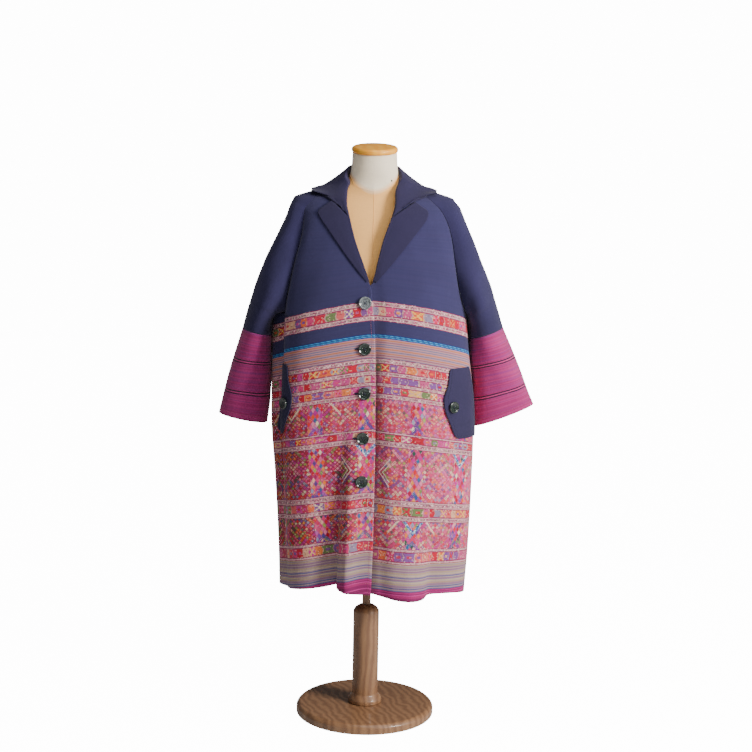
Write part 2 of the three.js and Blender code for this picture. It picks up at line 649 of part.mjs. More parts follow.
function formTorso() {
  const columns = 28;
  const neckStart = 1262;
  const rows = FORM.map((row) => {
    const lean = -NECK_LEAN * smoothstep(row.z, neckStart, 1340);
    return steps(columns).slice(0, -1).map((share) => {
      const turn = share * 2 * Math.PI;
      const depth = Math.cos(turn) > 0 ? row.front : row.back;
      const squared = (value) => Math.sign(value) * Math.abs(value) ** (2 / row.power);
      return vec(row.half * squared(Math.sin(turn)), lean - depth * squared(Math.cos(turn)), row.z);
    });
  });
  const top = rows[rows.length - 1];
  const tilt = degToRad(CAP.tilt);
  const drop = (CAP.thickness / 2 + SEAM_GAP) / Math.cos(tilt);
  top.forEach((point) => { point.z = CAP.middle + Math.tan(tilt) * (point.y + CAP.forward) - drop; });
  const corners = [];
  const ring = (i, j) => rows[i][j % columns];
  for (let i = 0; i < rows.length - 1; i += 1) {
    for (let j = 0; j < columns; j += 1) {
      corners.push(ring(i, j), ring(i, j + 1), ring(i + 1, j + 1));
      corners.push(ring(i, j), ring(i + 1, j + 1), ring(i + 1, j));
    }
  }
  const centre = (row) => row.reduce((sum, p) => sum.add(p), vec(0, 0, 0)).divideScalar(columns);
  const under = centre(rows[0]);
  const over = centre(top);
  for (let j = 0; j < columns; j += 1) {
    corners.push(ring(0, j + 1), ring(0, j), under);
    corners.push(top[j], top[(j + 1) % columns], over);
  }
  return solidFrom(corners);
}

// ------------------------------------------------------------------ the scene graph
const coat = new THREE.Group();
const FRONTS = { [-1]: pullBack(frontGrid(-1), { last: true }), 1: pullBack(frontGrid(1), { last: true }) };

function add(name, geometry, color, roughness, metalness = 0) {
  geometry.computeVertexNormals();
  const material = new THREE.MeshStandardMaterial({ color, roughness, metalness });
  const mesh = new THREE.Mesh(geometry, material);
  mesh.name = name;
  coat.add(mesh);
  return mesh;
}

for (const side of [-1, 1]) {
  const name = side < 0 ? 'right' : 'left';
  add(`front_${name}`, wall(FRONTS[side], side), WOVEN, 0.9);
  const sleeve = pullBack(sleeveGrid(side), { first: true, last: true, top: true });
  const cuff = pullBack(cuffGrid(side), { bottom: true });
  const lapel = pullBack(lapelGrid(side), { top: true });
  add(`sleeve_${name}`, wall(sleeve, -side), NAVY, 0.9);
  add(`cuff_${name}`, wall(cuff, -side), MAGENTA, 0.9);
  add(`lapel_${name}`, wall(lapel, side, BAND_WALL), NAVY_DARK, 0.9);
  add(`flap_${name}`, wall(flapGrid(side), side, BAND_WALL), NAVY, 0.9);
}
add('back', wall(pullBack(backGrid(), { first: true, last: true }), 1), WOVEN, 0.9);
const collar = pullBack(collarGrid(), { top: true, bottom: true });
add('collar', wall(collar, -1, BAND_WALL), NAVY_DARK, 0.9);

// Sets a button on the cloth with its face along the outward direction.
function placeButton(mesh, { point, normal }, clearance = 0) {
  mesh.position.copy(point).addScaledVector(normal, clearance);
  mesh.quaternion.setFromUnitVectors(vec(0, 1, 0), normal);
}

BUTTONS.forEach((row, i) => {
  const mesh = add(`button_${i + 1}`, button(BUTTON.radius), SHELL, 0.25);
  placeButton(mesh, onFront(-1, heading(row.x, row.z), row.z));
});
for (const side of [-1, 1]) {
  const angle = side * (FLAP_BUTTON.angle - (side < 0 ? FLAP_TURN : 0));
  const mesh = add(`flap_button_${side < 0 ? 'right' : 'left'}`, button(FLAP_BUTTON.radius), SHELL, 0.25);
  const clearance = at(FLAP, 'clearance', FLAP_BUTTON.z) + BAND_WALL;
  placeButton(mesh, onFront(side, angle, FLAP_BUTTON.z), clearance);
}

add('form_torso', formTorso(), LINEN, 0.85);
const capHalf = CAP.thickness / 2;
const cap = add('neck_cap', lathe([
  [0, -capHalf], [CAP.radius - 3, -capHalf], [CAP.radius, -capHalf + 3], [CAP.radius, capHalf - 4],
  [CAP.radius - 4, capHalf], [12, capHalf + 2], [0, capHalf + 2.4],
], 24), WOOD, 0.45);
cap.position.set(0, -CAP.forward, CAP.middle);
cap.rotation.x = degToRad(CAP.tilt);
add('stand_pole', lathe([
  [0, POLE.bottom], [POLE.radius, POLE.bottom], [POLE.radius, POLE.top], [0, POLE.top],
], 14), WOOD_DARK, 0.5);
add('stand_column', lathe([
  [0, COLUMN.bottom], [COLUMN.radius + 9, COLUMN.bottom], [COLUMN.radius + 9, COLUMN.bottom + 10],
  [COLUMN.radius, COLUMN.bottom + 22], [COLUMN.radius, COLUMN.shoulder],
  [COLUMN.radius - 5, COLUMN.shoulder + 8], [COLUMN.radius - 14, COLUMN.top - 2],
  [POLE.radius + 2, COLUMN.top], [0, COLUMN.top],
], 18), WOOD_DARK, 0.5);
add('stand_base', lathe([
  [0, 0], [BASE.radius - 2, 0], [BASE.radius, 2], [BASE.radius, BASE.height - BASE.round],
  [BASE.radius - BASE.round, BASE.height], [0, BASE.height],
], 32), WOOD_DARK, 0.5);

export default coat;
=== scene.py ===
"""A knee-length coat of hand-woven cloth on a limbless dress form with a wooden stand.

Lengths are worked out in millimetres and written into the meshes in metres. +Z is up and the
coat's front faces -Y. Right and left are the wearer's: the right front is on -X and laps over.
"""
import math

import bmesh
import bpy
import numpy as np
from mathutils import Matrix, Vector


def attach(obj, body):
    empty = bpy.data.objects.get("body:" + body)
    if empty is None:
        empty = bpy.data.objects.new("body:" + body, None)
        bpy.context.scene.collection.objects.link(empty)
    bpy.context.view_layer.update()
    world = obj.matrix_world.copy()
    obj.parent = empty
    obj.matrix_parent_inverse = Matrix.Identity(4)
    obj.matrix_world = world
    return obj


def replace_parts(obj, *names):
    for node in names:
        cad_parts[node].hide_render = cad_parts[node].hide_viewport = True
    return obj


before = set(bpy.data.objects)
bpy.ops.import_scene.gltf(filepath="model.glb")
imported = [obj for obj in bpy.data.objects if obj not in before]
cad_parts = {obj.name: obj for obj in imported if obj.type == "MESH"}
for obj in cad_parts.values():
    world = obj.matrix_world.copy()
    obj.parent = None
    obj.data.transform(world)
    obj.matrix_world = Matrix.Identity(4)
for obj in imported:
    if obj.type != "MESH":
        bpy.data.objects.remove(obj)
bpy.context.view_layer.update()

SIDES = {-1: "right", 1: "left"}
CLOTH = 1.4            # thickness of the woven and navy cloth
BAND = 1.7             # thickness of the faced pieces: collar, lapels and flaps
FACED = 2.2            # room that a faced piece takes
SEAM_GAP = 0.3         # gap between two pieces at a seam
LAP_SINK = 3.3         # the left front lies this far below the right one where they lap
ROLL_RADIUS = 2.8      # outside radius of the collar's and lapels' rolled edge
ROLL_REACH = 3.7       # how far that rolled edge stands off the edge of the front
UNDERARM, NECKLINE, HEM, BREAK, GORGE = 965.0, 1274.0, 330.0, 1050.0, 1197.0
UNDER = 2.0 + 0.8 + FACED          # depth of a roll's inner end below the front, with its gap
OVER = 1.2 + FACED                 # height of a lapel's outer face over the front, with its gap
EVEN = 11 / 16         # share of a front's columns that run evenly up to the turn of its side
SIDE_REACH = 285.0     # distance along the cloth from the middle to the side seam
LEFT_BOLT = 2000.0     # the left front's cloth starts here, which tells it from the others for the painted lap shade
HEM_ROW = 4            # row of a front or back that the hem's stitches follow
RAGLAN_ROWS, UNDERARM_ROW = 84, 82
NAVY_FROM = 985        # height above which the edge is sewn with navy thread
STITCH_RADIUS = 0.42


def columns(names, rows):
    """A table as one array for each named column."""
    return dict(zip(names.split(), np.array(rows, float).T))


BODY = columns("z right left front back power", [
    [300, 209, 232, 152, 133, 2.35], [425, 213, 239, 152, 130, 2.4], [573, 222, 243, 152, 126, 2.5],
    [700, 233, 244, 150, 123, 2.6], [800, 234, 239, 147, 121, 2.65], [877, 233, 229, 145, 119, 2.6],
    [965, 230, 221, 142, 116, 2.6], [1000, 225, 218, 140, 114, 2.6], [1040, 217, 214, 136, 112, 2.6],
    [1090, 208, 210, 126, 109, 2.6], [1141, 201, 207, 112, 104, 2.5], [1181, 198, 203, 97, 98, 2.4],
    [1205, 195, 199, 87, 93, 2.2], [1217, 191, 194, 82, 90, 1.95], [1230, 186, 186, 77, 86, 1.65],
    [1238, 179, 176, 74, 83, 1.45], [1244, 164, 162, 71, 80, 1.35], [1254, 130, 132, 66, 75, 1.35],
    [1264, 100, 102, 62, 70, 1.45], [1274, 80, 80, 59, 66, 1.6], [1284, 66, 64, 57, 62, 1.9],
    [1296, 60, 60, 54, 60, 2.0],
])

# Soft folds: lower and upper end, heading at each, width to either side, height at each end, and
# the length of the fade above. The first eleven are the large ones, the rest are laid one by one.
FOLDS = np.array([
    [300, 720, -35, -24, 22, 6, -44, -4, 60], [300, 690, -18, -14, 6, 9, 7, 1, 60],
    [430, 1130, -76, -77, 9, 8, -16, -34, 110], [560, 800, -77, -76, 10, 8, 0, -13, 120],
    [300, 560, 32, 30, 9, 9, 15, 2, 90], [300, 540, 53, 50, 6, 9, -20, -3, 90],
    [300, 700, 128, 124, 10, 12, 14, 3, 120], [300, 760, 152, 156, 9, 9, -15, -3, 120],
    [300, 760, -150, -154, 10, 9, -13, -4, 120], [300, 820, -172, -176, 9, 10, 12, 3, 120],
    [300, 640, -118, -121, 10, 10, 13, 2, 120],
    [300, 680, -17.5, -13.5, 3, 6, 6, 1, 60],
    [340, 620, -52, -47, 5, 4, 2.6, 1.0, 80], [420, 780, -44, -40, 4, 6, -1.8, -0.8, 90],
    [330, 520, 14, 12, 5, 5, -2.4, -0.6, 70], [420, 700, 22, 19, 5, 4, 1.8, 0.6, 90],
    [700, 930, 40, 34, 6, 6, 2.0, 0.8, 70], [640, 860, -60, -54, 5, 5, 1.8, 1.2, 70],
    [880, 1120, 62, 48, 6, 8, -2.6, -1.2, 60], [900, 1130, -62, -50, 7, 6, -2.4, -1.0, 60],
    [960, 1170, 74, 58, 5, 6, 2.2, 1.0, 40], [960, 1180, -73, -60, 5, 5, 2.0, 1.0, 40],
    [330, 760, 68, 66, 5, 6, -2.2, -1.0, 90], [330, 600, 104, 100, 6, 6, 2.6, 1.0, 80],
    [360, 900, 138, 140, 6, 6, 2.2, 1.0, 90], [360, 700, 168, 166, 6, 6, -2.4, -1.0, 80],
    [360, 860, -134, -138, 6, 6, 2.4, 1.0, 90], [340, 700, -163, -163, 6, 6, 2.0, 0.8, 80],
    [760, 960, -89, -89, 6, 6, 1.6, 3.4, 60],
    [900, 1150, 130, 150, 8, 8, 2.4, 1.0, 60], [900, 1150, -130, -150, 8, 8, 2.4, 1.0, 60],
    [920, 1160, 112, 122, 6, 6, -2.6, -1.2, 50], [920, 1160, -112, -122, 6, 6, -2.6, -1.2, 50],
], float)

# How far the hem hangs above or below its mean level, by heading.
HEM_LINE = columns("angle rise", [
    [-180, -16], [-120, -15], [-90, -14], [-66, -6], [-45, 6], [-30, 16], [-22, 10], [-8, 4],
    [5, 2], [14, -3], [28, -10], [42, -11], [52, -5], [64, -6], [78, -14], [90, -22],
    [120, -18], [180, -16],
])
# The fronts' edges: down the middle, and from BREAK up along the lapels' roll lines.
RIGHT_EDGE = columns("z x", [
    [300, 9], [440, 12], [560, 13], [700, 13], [878, 10], [944, 7], [1018, 0], [BREAK, -5],
    [1097, -22], [1145, -40], [GORGE, -54], [1225, -61], [1250, -65], [NECKLINE, -64],
])
LEFT_EDGE = columns("z x", [
    [300, -38], [980, -38], [1015, -34], [1038, -14], [BREAK, -1.5], [1097, 11],
    [1146, 23], [GORGE, 41], [1222, 48], [1250, 53], [NECKLINE, 58],
])
# Raglan seams: how far out across the body (1 is the side) they lie, by level.
SEAM = columns("z front_right front_left back", [
    [UNDERARM, 1, 1, 1], [1000, 0.93, 0.94, 0.94], [1052, 0.897, 0.905, 0.905],
    [1090, 0.878, 0.89, 0.885], [1141, 0.861, 0.87, 0.86], [1181, 0.848, 0.835, 0.83],
    [1205, 0.841, 0.79, 0.8], [1217, 0.817, 0.765, 0.78], [1230, 0.763, 0.72, 0.76],
    [1244, 0.755, 0.715, 0.75], [1254, 0.815, 0.8, 0.79], [1264, 0.87, 0.86, 0.82],
    [NECKLINE, 0.89, 0.9, 0.84],
])
# The open part of the sleeves: one row each level of the seam, with the outer line and the handles.
SLEEVE = columns("k seam right_x right_z left_x left_z lean inner_handle outer_handle", [
    [0, NECKLINE, 65, 1284, 65, 1284, -30, 8, 10], [1, 1264, 86, 1271, 86, 1271, -30, 8, 11],
    [2, 1254, 115, 1260, 114, 1260, -30, 9, 13], [3, 1244, 150, 1248.5, 146, 1250, -28, 12, 17],
    [4, 1230, 181, 1238, 180, 1239, -25, 18, 27], [5, 1217, 188, 1228, 189, 1229, -20, 19, 34],
    [6, 1205, 194, 1216, 199, 1218, -14, 21, 42], [7, 1181, 203, 1191, 209, 1195, -6, 23, 55],
    [8, 1141, 220, 1154, 224, 1159, 6, 25, 70], [9, 1090, 241, 1110, 243, 1113, 22, 28, 86],
    [10, 1052, 256, 1074, 257, 1080, 34, 33, 99], [11, 1000, 272, 1029, 277, 1033, 58, 50, 110],
    [12, UNDERARM, 284, 996, 288, 1001, 90, 107, 110],
])
# The closed part of the sleeves and the cuffs: inner and outer line, half depth and middle.
ARM = columns("k inner_z right_inner right_x right_z left_inner left_x left_z right_half left_half middle", [
    [0, UNDERARM, 231.3, 284, 996, 221.5, 288, 1001, 80, 80, 0],
    [1, 940, 232.2, 294, 962, 223.7, 298, 972, 77, 77, 9],
    [2, 914, 232.7, 302, 930, 225.9, 307.5, 942, 73, 73, 16],
    [3, 860, 233.2, 320, 873, 231.7, 331, 890, 66, 64, 23],
    [4, 806, 234.4, 337, 815, 239, 354, 837, 60, 55, 27],
    [5, 752, 237, 349, 766, 243, 371, 793, 55, 46, 28],
    [6, 702, 243.5, 359, 724, 249, 387, 757, 50, 38, 29],
])
CUFF_ROW = 2
COLLAR = columns("angle seam_z roll_x roll_y roll_z edge_x edge_y edge_z stand", [
    [0, GORGE, 0, 0, GORGE, 92, 0, 1234, 0], [0, 1205, 0, 0, 1212, 108, 0, 1237, 0],
    [0, 1217, 0, 0, 1212, 125, 0, 1244, 0], [0, 1230, 0, 0, 1230, 142, -34, 1251, 0.05],
    [0, 1254, 0, 0, 1256, 144, -14, 1254, 0.2], [58, 1266, 57, -37, 1272.5, 144, -3, 1254, 0.35],
    [64, 1276, 64, -29, 1285, 143, 8, 1254, 0.5], [90, 1283, 61.5, -6, 1302, 139, 34, 1245, 0.8],
    [118, 1284, 57, 22, 1309, 122, 66, 1236, 1], [146, 1288, 39, 47, 1312, 84, 98, 1229, 1],
    [165, 1291, 19, 59, 1314, 42, 109, 1225, 1], [180, 1292, 0, 62, 1315, 0, 112, 1224, 1],
])
LAPEL = columns("share right_x right_z left_x left_z", [
    [0, -12, 1052, 9, 1052], [0.3, -42, 1088, 40, 1088], [0.6, -84, 1143, 86, 1146],
    [0.8, -117, 1188, 119, 1190], [0.88, -127, 1202, 125, 1205], [1, -94.5, 1229.5, 93, 1229.5],
])
LAPEL_LEVELS = np.array([1054, 1072, 1090, 1107, 1124, 1141, 1155, 1168, 1181, 1189, 1196.0])
FLAP = columns("z inner outer clearance", [
    [693, 65, 78, 2.8], [699, 61.5, 79.5, 2.8], [730, 57.5, 78.5, 2.8], [763, 54.2, 77.5, 2.8],
    [791, 53.8, 76.5, 2.8], [818, 56.5, 75.5, 2.6], [851, 58.5, 74.5, 1.7], [856, 60, 73.5, 1],
])
FLAP_TURN = -3         # the right flap sits this many degrees further back
BUTTON_RIM, BUTTON_DISH, BUTTON_LIFT = 4.6, 2.6, 1.6
HOLE_RADIUS, HOLE_PLACE = 1.25, 2.9
BUTTONS = [[1006, -15], [902, -14], [801, -13], [699, -15], [599, -16]]
BUTTON_RADIUS = 14.5
FLAP_BUTTON = {"z": 768, "angle": 59.5, "radius": 13.5}
FORM = columns("z half front back power", [
    [640, 150, 92, 92, 2], [648, 166, 100, 100, 2], [700, 178, 108, 108, 2], [760, 176, 108, 106, 2],
    [850, 150, 98, 90, 2], [905, 135, 92, 84, 2], [980, 145, 108, 88, 2], [1050, 160, 118, 92, 2],
    [1090, 166, 112, 92, 2], [1140, 172, 92, 86, 2], [1180, 176, 76, 78, 2], [1205, 177, 64, 70, 2],
    [1222, 176, 55, 62, 1.8], [1232, 171.5, 50, 57, 1.6], [1240.5, 164, 47, 54, 1.4],
    [1245.6, 149, 46, 53, 1.35], [1257.1, 112, 45, 51, 1.4], [1266, 84, 44, 50, 1.55],
    [1270.5, 71, 43.5, 49.5, 1.75], [1274.5, 63.5, 43.5, 49, 1.9], [1281, 58.5, 44, 48, 2],
    [1294, 55, 46, 46, 2], [1311, 52.3, 47.5, 46.5, 2], [1326, 51, 48, 47, 2],
])
NECK_LEAN = 7          # the neck leans forwards by this much at its top
NECK_SEAM_LOW, NECK_SEAM_CURVE = 1253.0, 0.0128
CAP_RADIUS, CAP_THICK, CAP_MIDDLE, CAP_TILT, CAP_FORWARD = 53.5, 13.0, 1347.5, 9.5, 8.0

# How far the bands of the cloth hang lower at the side seams than at the middle, by height.
SAG = columns("z right left", [
    [300, 30, 10], [400, 33, 18], [500, 36, 31], [700, 52, 44], [900, 66, 54], [1010, 66, 54],
    [1110, 30, 26], [1200, 0, 0],
])
LIFT = columns("z rise", [[300, 28], [380, 28], [550, 15], [700, 5], [800, 0], [1200, 0]])


# ---------------------------------------------------------------- small maths
def ease(value, low, high):
    """0 below low, 1 above high, and 3t^2 - 2t^3 between them."""
    t = np.clip((value - low) / (high - low), 0, 1)
    return t * t * (3 - 2 * t)


def blend(a, b, t):
    return a + (b - a) * t


def wrapped(angle):
    """The same heading between -180 and 180 degrees."""
    return (angle + 180) % 360 - 180


def unit(v):
    return v / np.maximum(np.linalg.norm(v, axis=-1, keepdims=True), 1e-9)


def hermite(knots, heights, value):
    """Cubic curve through the heights, whose slope at a knot is that of the chord past it."""
    last = len(knots) - 1
    order = np.arange(last + 1)
    before, after = np.maximum(order - 1, 0), np.minimum(order + 1, last)
    reach = knots[after] - knots[before]
    reach = reach.reshape(reach.shape + (1,) * (heights.ndim - 1))
    slopes = (heights[after] - heights[before]) / reach
    value = np.clip(value, knots[0], knots[-1])
    i = np.clip(np.searchsorted(knots, value, side="left") - 1, 0, last - 1)
    span = knots[i + 1] - knots[i]
    t = (value - knots[i]) / span
    extra = (1,) * (heights.ndim - 1)
    t, span = t.reshape(t.shape + extra), span.reshape(span.shape + extra)
    start = heights[i] * (2 * t ** 3 - 3 * t ** 2 + 1) + slopes[i] * span * (t ** 3 - 2 * t ** 2 + t)
    end = heights[i + 1] * (3 * t ** 2 - 2 * t ** 3) + slopes[i + 1] * span * (t ** 3 - t ** 2)
    return start + end


def at(table, name, value):
    return hermite(next(iter(table.values())), table[name], np.asarray(value, float))


def refined(net, rows, cols):
    """Smooth curves through a net of points along both ways, by the mean chord between them."""
    for axis, n in ((0, rows), (1, cols)):
        turned = np.moveaxis(net, axis, 0)
        chord = np.linalg.norm(np.diff(turned, axis=0), axis=-1).mean(1)
        knots = np.concatenate([[0], np.cumsum(np.maximum(chord, 1e-6))])
        last = len(knots) - 1
        fine = np.interp(np.linspace(0, last, last * n + 1), np.arange(last + 1), knots)
        net = np.moveaxis(hermite(knots, turned, fine), 0, axis)
    return net


def arcs(grid, axis=1):
    """Distance along the grid's lines from their first point, in millimetres."""
    step = np.linalg.norm(np.diff(grid, axis=axis), axis=-1)
    zero = np.zeros_like(np.take(step, [0], axis=axis))
    return np.concatenate([zero, np.cumsum(step, axis=axis)], axis=axis)


def normals_of(grid, facing=1.0):
    """Direction across the grid times the direction along it, both by central differences."""
    n = np.cross(np.gradient(grid, axis=1), np.gradient(grid, axis=0))
    return unit(n) * facing


# ---------------------------------------------------------------- the coat's body
def fold_height(angle, z):
    """Sum of bells across, each with its own width either side, that run along slanting lines."""
    total = np.zeros(np.broadcast(angle, z).shape)
    for low, high, a_low, a_high, right, left, s_low, s_high, fade in FOLDS:
        along = np.clip((z - low) / (high - low), 0, 1)
        off = wrapped(angle - blend(a_low, a_high, along))
        width = np.where(off < 0, right, left)
        total += blend(s_low, s_high, along) * (1 - ease(z, high, high + fade)) * np.exp(-(off / width) ** 2)
    return total


def body_point(angle, z):
    """Superellipse of half width and depth by level, with the folds added to its radius."""
    angle = wrapped(np.asarray(angle, float))
    turn = np.radians(angle)
    side = np.where(angle < 0, at(BODY, "right", z), at(BODY, "left", z))
    depth = np.where(np.abs(angle) < 90, at(BODY, "front", z), at(BODY, "back", z))
    power = at(BODY, "power", z)
    reach = (np.abs(np.sin(turn)) / side) ** power + (np.abs(np.cos(turn)) / depth) ** power
    radius = reach ** (-1 / power) + fold_height(angle, z)
    return np.stack(np.broadcast_arrays(radius * np.sin(turn), -radius * np.cos(turn), z), -1)


def body_normal(angle, z):
    here = body_point(angle, z)
    return unit(np.cross(body_point(angle + 0.5, z) - here, body_point(angle, z + 1) - here))


def heading(x, z, back=False):
    """Direction round the body, in degrees from the front, at which it is x across."""
    half = np.where(np.asarray(x) < 0, at(BODY, "right", z), at(BODY, "left", z))
    share = np.clip(np.abs(x) / half, 0, 1)
    power = at(BODY, "power", z)
    depth = at(BODY, "back" if back else "front", z) * (1 - share ** power) ** (1 / power)
    return np.degrees(np.arctan2(x, -depth if back else depth))


def hemmed(z, angle):
    return z + at(HEM_LINE, "rise", wrapped(angle)) * (1 - ease(z, HEM, HEM + 200))


def seam_heading(side, z, back):
    """Heading of the raglan seam above the underarm, and of the side seam below it."""
    share = at(SEAM, "back" if back else "front_" + SIDES[side], z) * at(BODY, SIDES[side], z)
    return np.where(z <= UNDERARM, side * 90.0, heading(side * share, z, back))


def back_rise(z, middle):
    return ease(z, 1205, NECKLINE) * blend(4, 18, middle)


def seam_point(side, z, back):
    level = z + back_rise(z, 0) if back else z
    return body_point(seam_heading(side, level, back), level)


def lap_share(x, level):
    cover = at(RIGHT_EDGE, "x", level)
    return (1 - ease(x, cover + 6, cover + 34)) * (1 - ease(level, BREAK - 10, BREAK + 45))


def front_surface(side, angle, z):
    """The outer face of a front with its outward direction: the left one sinks under the lap."""
    point, normal = body_point(angle, z), body_normal(angle, z)
    if side < 0:
        return point, normal
    x = point[..., 0]
    slack = 10 * np.exp(-(((x - 14) / 26) ** 2)) * (1 - ease(z, 560, 880))
    sunk = LAP_SINK * lap_share(x, z) + slack
    return point - normal * sunk[..., None], normal


def set_back(level):
    """How far a front's edge keeps back from the roll line, to leave room for the lapel's roll."""
    return ROLL_REACH * ease(level, BREAK - 12, BREAK + 14)


def edge_x(side, level):
    return at(RIGHT_EDGE if side < 0 else LEFT_EDGE, "x", level) + side * set_back(level)


def levels_up():
    """Levels from the hem to the neckline, closer together over the shoulder."""
    return np.concatenate([np.linspace(HEM, UNDERARM, 92), np.linspace(UNDERARM, 1200, 42)[1:],
                           np.linspace(1200, NECKLINE, 32)[1:]])[:, None]


def front_grid(side, count=90):
    """Rows are levels that bend to the hem line, and columns run from the front edge to the seam."""
    level = levels_up()
    share = np.linspace(0, 1, count)[None, :]
    inner = edge_x(side, level)
    start, end = heading(inner, level), seam_heading(side, level, False)
    even = side * blend(start, end, EVEN)
    turn = side * np.maximum(0.78 * np.minimum(np.abs(end), 72), even)
    near, far = share / EVEN, (share - EVEN) / (1 - EVEN)
    angle = np.where(share < EVEN, blend(start, turn, near), blend(turn, end, far))
    z = hemmed(level, angle)
    point, normal = front_surface(side, angle, z)
    u = arcs(point) + np.abs(inner) * np.sign(inner) * side
    return point, normal, u * side


def back_grid(count=130):
    """Rows of the same levels, raised in the middle of the neck, from the left seam to the right one."""
    level = levels_up()
    share = np.linspace(0, 1, count)[None, :]
    start = seam_heading(1, level + back_rise(level, 0), True)
    end = 360 + seam_heading(-1, level + back_rise(level, 0), True)
    angle = blend(start, end, share)
    z = hemmed(level, angle) + back_rise(level, np.sin(np.pi * share))
    point = body_point(angle, z)
    u = arcs(point)
    middle = np.array([np.interp(180, row, at_u) for row, at_u in zip(angle, u)])[:, None]
    return point, body_normal(angle, z), u - middle


def cloth_height(side, u, z):
    """Height in the cloth's own bands: the level plus how far the band hangs down there."""
    share = np.abs(u) / SIDE_REACH
    out = np.clip(share, 0, 1.3) ** (1.25 if side < 0 else 1.6)
    lift = at(LIFT, "rise", z) * np.clip(1 - share, 0, 1) if side < 0 else 0
    return z + at(SAG, SIDES[side], z) * out - lift


def back_cloth_height(u, z):
    half = np.where(u > 0, u.max(1, keepdims=True), -u.min(1, keepdims=True))
    out = (np.abs(u) / half) ** 1.6
    sag = np.where(u > 0, at(SAG, "right", z), at(SAG, "left", z))
    return z + sag * out


# ---------------------------------------------------------------- the sleeves
def sleeve_half(start, outer, lean, inner_handle, outer_handle, forward, t):
    """Cubic curve that leaves the seam at its lean and arrives square to the outer line."""
    across = outer - start
    across[..., 1] = 0
    turn = np.radians(lean)[..., None]
    ahead = np.array([0, -forward, 0.0])
    leave = unit(across) * np.cos(turn) + ahead * np.sin(turn)
    second = start + leave * inner_handle[..., None]
    third = outer + ahead * outer_handle[..., None]
    t = t[None, :, None]
    start, second, third, outer = (p[:, None, :] for p in (start, second, third, outer))
    s = 1 - t
    return start * s ** 3 + 3 * second * t * s ** 2 + 3 * third * t ** 2 * s + outer * t ** 3


def sleeve_round(front, back, outer, lean, inner_handle, outer_handle, around=28):
    """The front half from its seam to the outer line, and the back half from there to its seam."""
    t = np.linspace(0, 1, around)
    ahead = sleeve_half(front, outer, lean, inner_handle, outer_handle, 1, t)
    behind = sleeve_half(back, outer, lean, inner_handle, outer_handle, -1, t)
    return np.concatenate([ahead, behind[:, ::-1][:, 1:]], 1)


def arm_grid(side, k):
    """The closed part of the sleeve, whose halves meet on the inner line."""
    name, middle = SIDES[side], at(ARM, "middle", k)
    inner = np.stack([side * at(ARM, name + "_inner", k), middle, at(ARM, "inner_z", k)], -1)
    outer = np.stack([side * at(ARM, name + "_x", k), middle, at(ARM, name + "_z", k)], -1)
    handle = at(ARM, name + "_half", k) / 0.75
    return sleeve_round(inner, inner, outer, np.full_like(k, 90.0), handle, handle)


def raglan_grid(side):
    """The sleeve from the neckline to the underarm, open along the raglan seams."""
    name = SIDES[side]
    k = np.linspace(0, 11.9, RAGLAN_ROWS)
    seam = at(SLEEVE, "seam", k)
    outer = np.stack([side * at(SLEEVE, name + "_x", k), 0 * k, at(SLEEVE, name + "_z", k)], -1)
    clear = side * 0.5 * (1 - ease(seam, 1000, 1141))
    front, back = seam_point(side, seam, False), seam_point(side, seam, True)
    front[:, 0] += clear
    back[:, 0] += clear
    handles = (at(SLEEVE, c, k) for c in ("lean", "inner_handle", "outer_handle"))
    return sleeve_round(front, back, outer, *handles)


# Creases of a sleeve: row and place round (both 0 to 1) of each end, width and height in mm.
SLEEVE_CREASES = {
    -1: [
        [0.50, 0.10, 0.94, 0.34, 22, -3.0], [0.42, 0.22, 0.84, 0.44, 24, 2.6],
        [0.62, 0.04, 0.95, 0.20, 18, 2.0], [0.62, 0.92, 0.95, 0.70, 20, -2.4],
        [0.46, 0.80, 0.86, 0.60, 22, 2.0], [0.28, 0.14, 0.66, 0.32, 24, 2.0],
    ],
    1: [
        [0.50, 0.12, 0.92, 0.32, 22, -3.0], [0.42, 0.24, 0.84, 0.44, 24, 2.4],
        [0.62, 0.05, 0.96, 0.22, 18, 2.0], [0.60, 0.90, 0.94, 0.68, 20, -2.4],
        [0.48, 0.78, 0.84, 0.58, 22, 2.0], [0.26, 0.16, 0.62, 0.34, 24, 1.8],
    ],
}
CUFF_CREASES = {
    -1: [[0.0, 0.14, 0.9, 0.28, 18, -2.2], [0.1, 0.34, 1.0, 0.42, 16, 1.8], [0.0, 0.82, 0.9, 0.68, 18, 2.0]],
    1: [[0.0, 0.16, 0.8, 0.24, 18, -2.2], [0.1, 0.32, 1.0, 0.40, 16, 1.8], [0.0, 0.80, 0.9, 0.70, 18, 2.0]],
}


def creased(grid, creases, facing):
    """Adds bells about straight lines drawn on the opened sleeve, faded out at the lines' ends."""
    down = arcs(grid, 0).mean(1)[:, None] + 0 * grid[..., 0]
    round_ = arcs(grid, 1)
    down_all, round_all = down.max(), round_.max(1, keepdims=True)
    share = round_ / round_all
    lift = np.zeros_like(down)
    for row_a, turn_a, row_b, turn_b, width, size in creases:
        ax, ay, bx, by = turn_a * round_all, row_a * down_all, turn_b * round_all, row_b * down_all
        dx, dy = bx - ax, by - ay
        length = np.hypot(dx, dy)
        along = ((round_ - ax) * dx + (down - ay) * dy) / length
        off = ((round_ - ax) * dy - (down - ay) * dx) / length
        ends = ease(along, -15, 45) * (1 - ease(along, length - 45, length + 15))
        lift += size * ends * np.exp(-(off / width) ** 2)
    lift *= ease(share, 0.0, 0.06) * (1 - ease(share, 0.94, 1.0))
    lift *= ease(down, 0, 25) * (1 - ease(down, down_all - 25, down_all))
    return grid + normals_of(grid, facing) * lift[..., None]


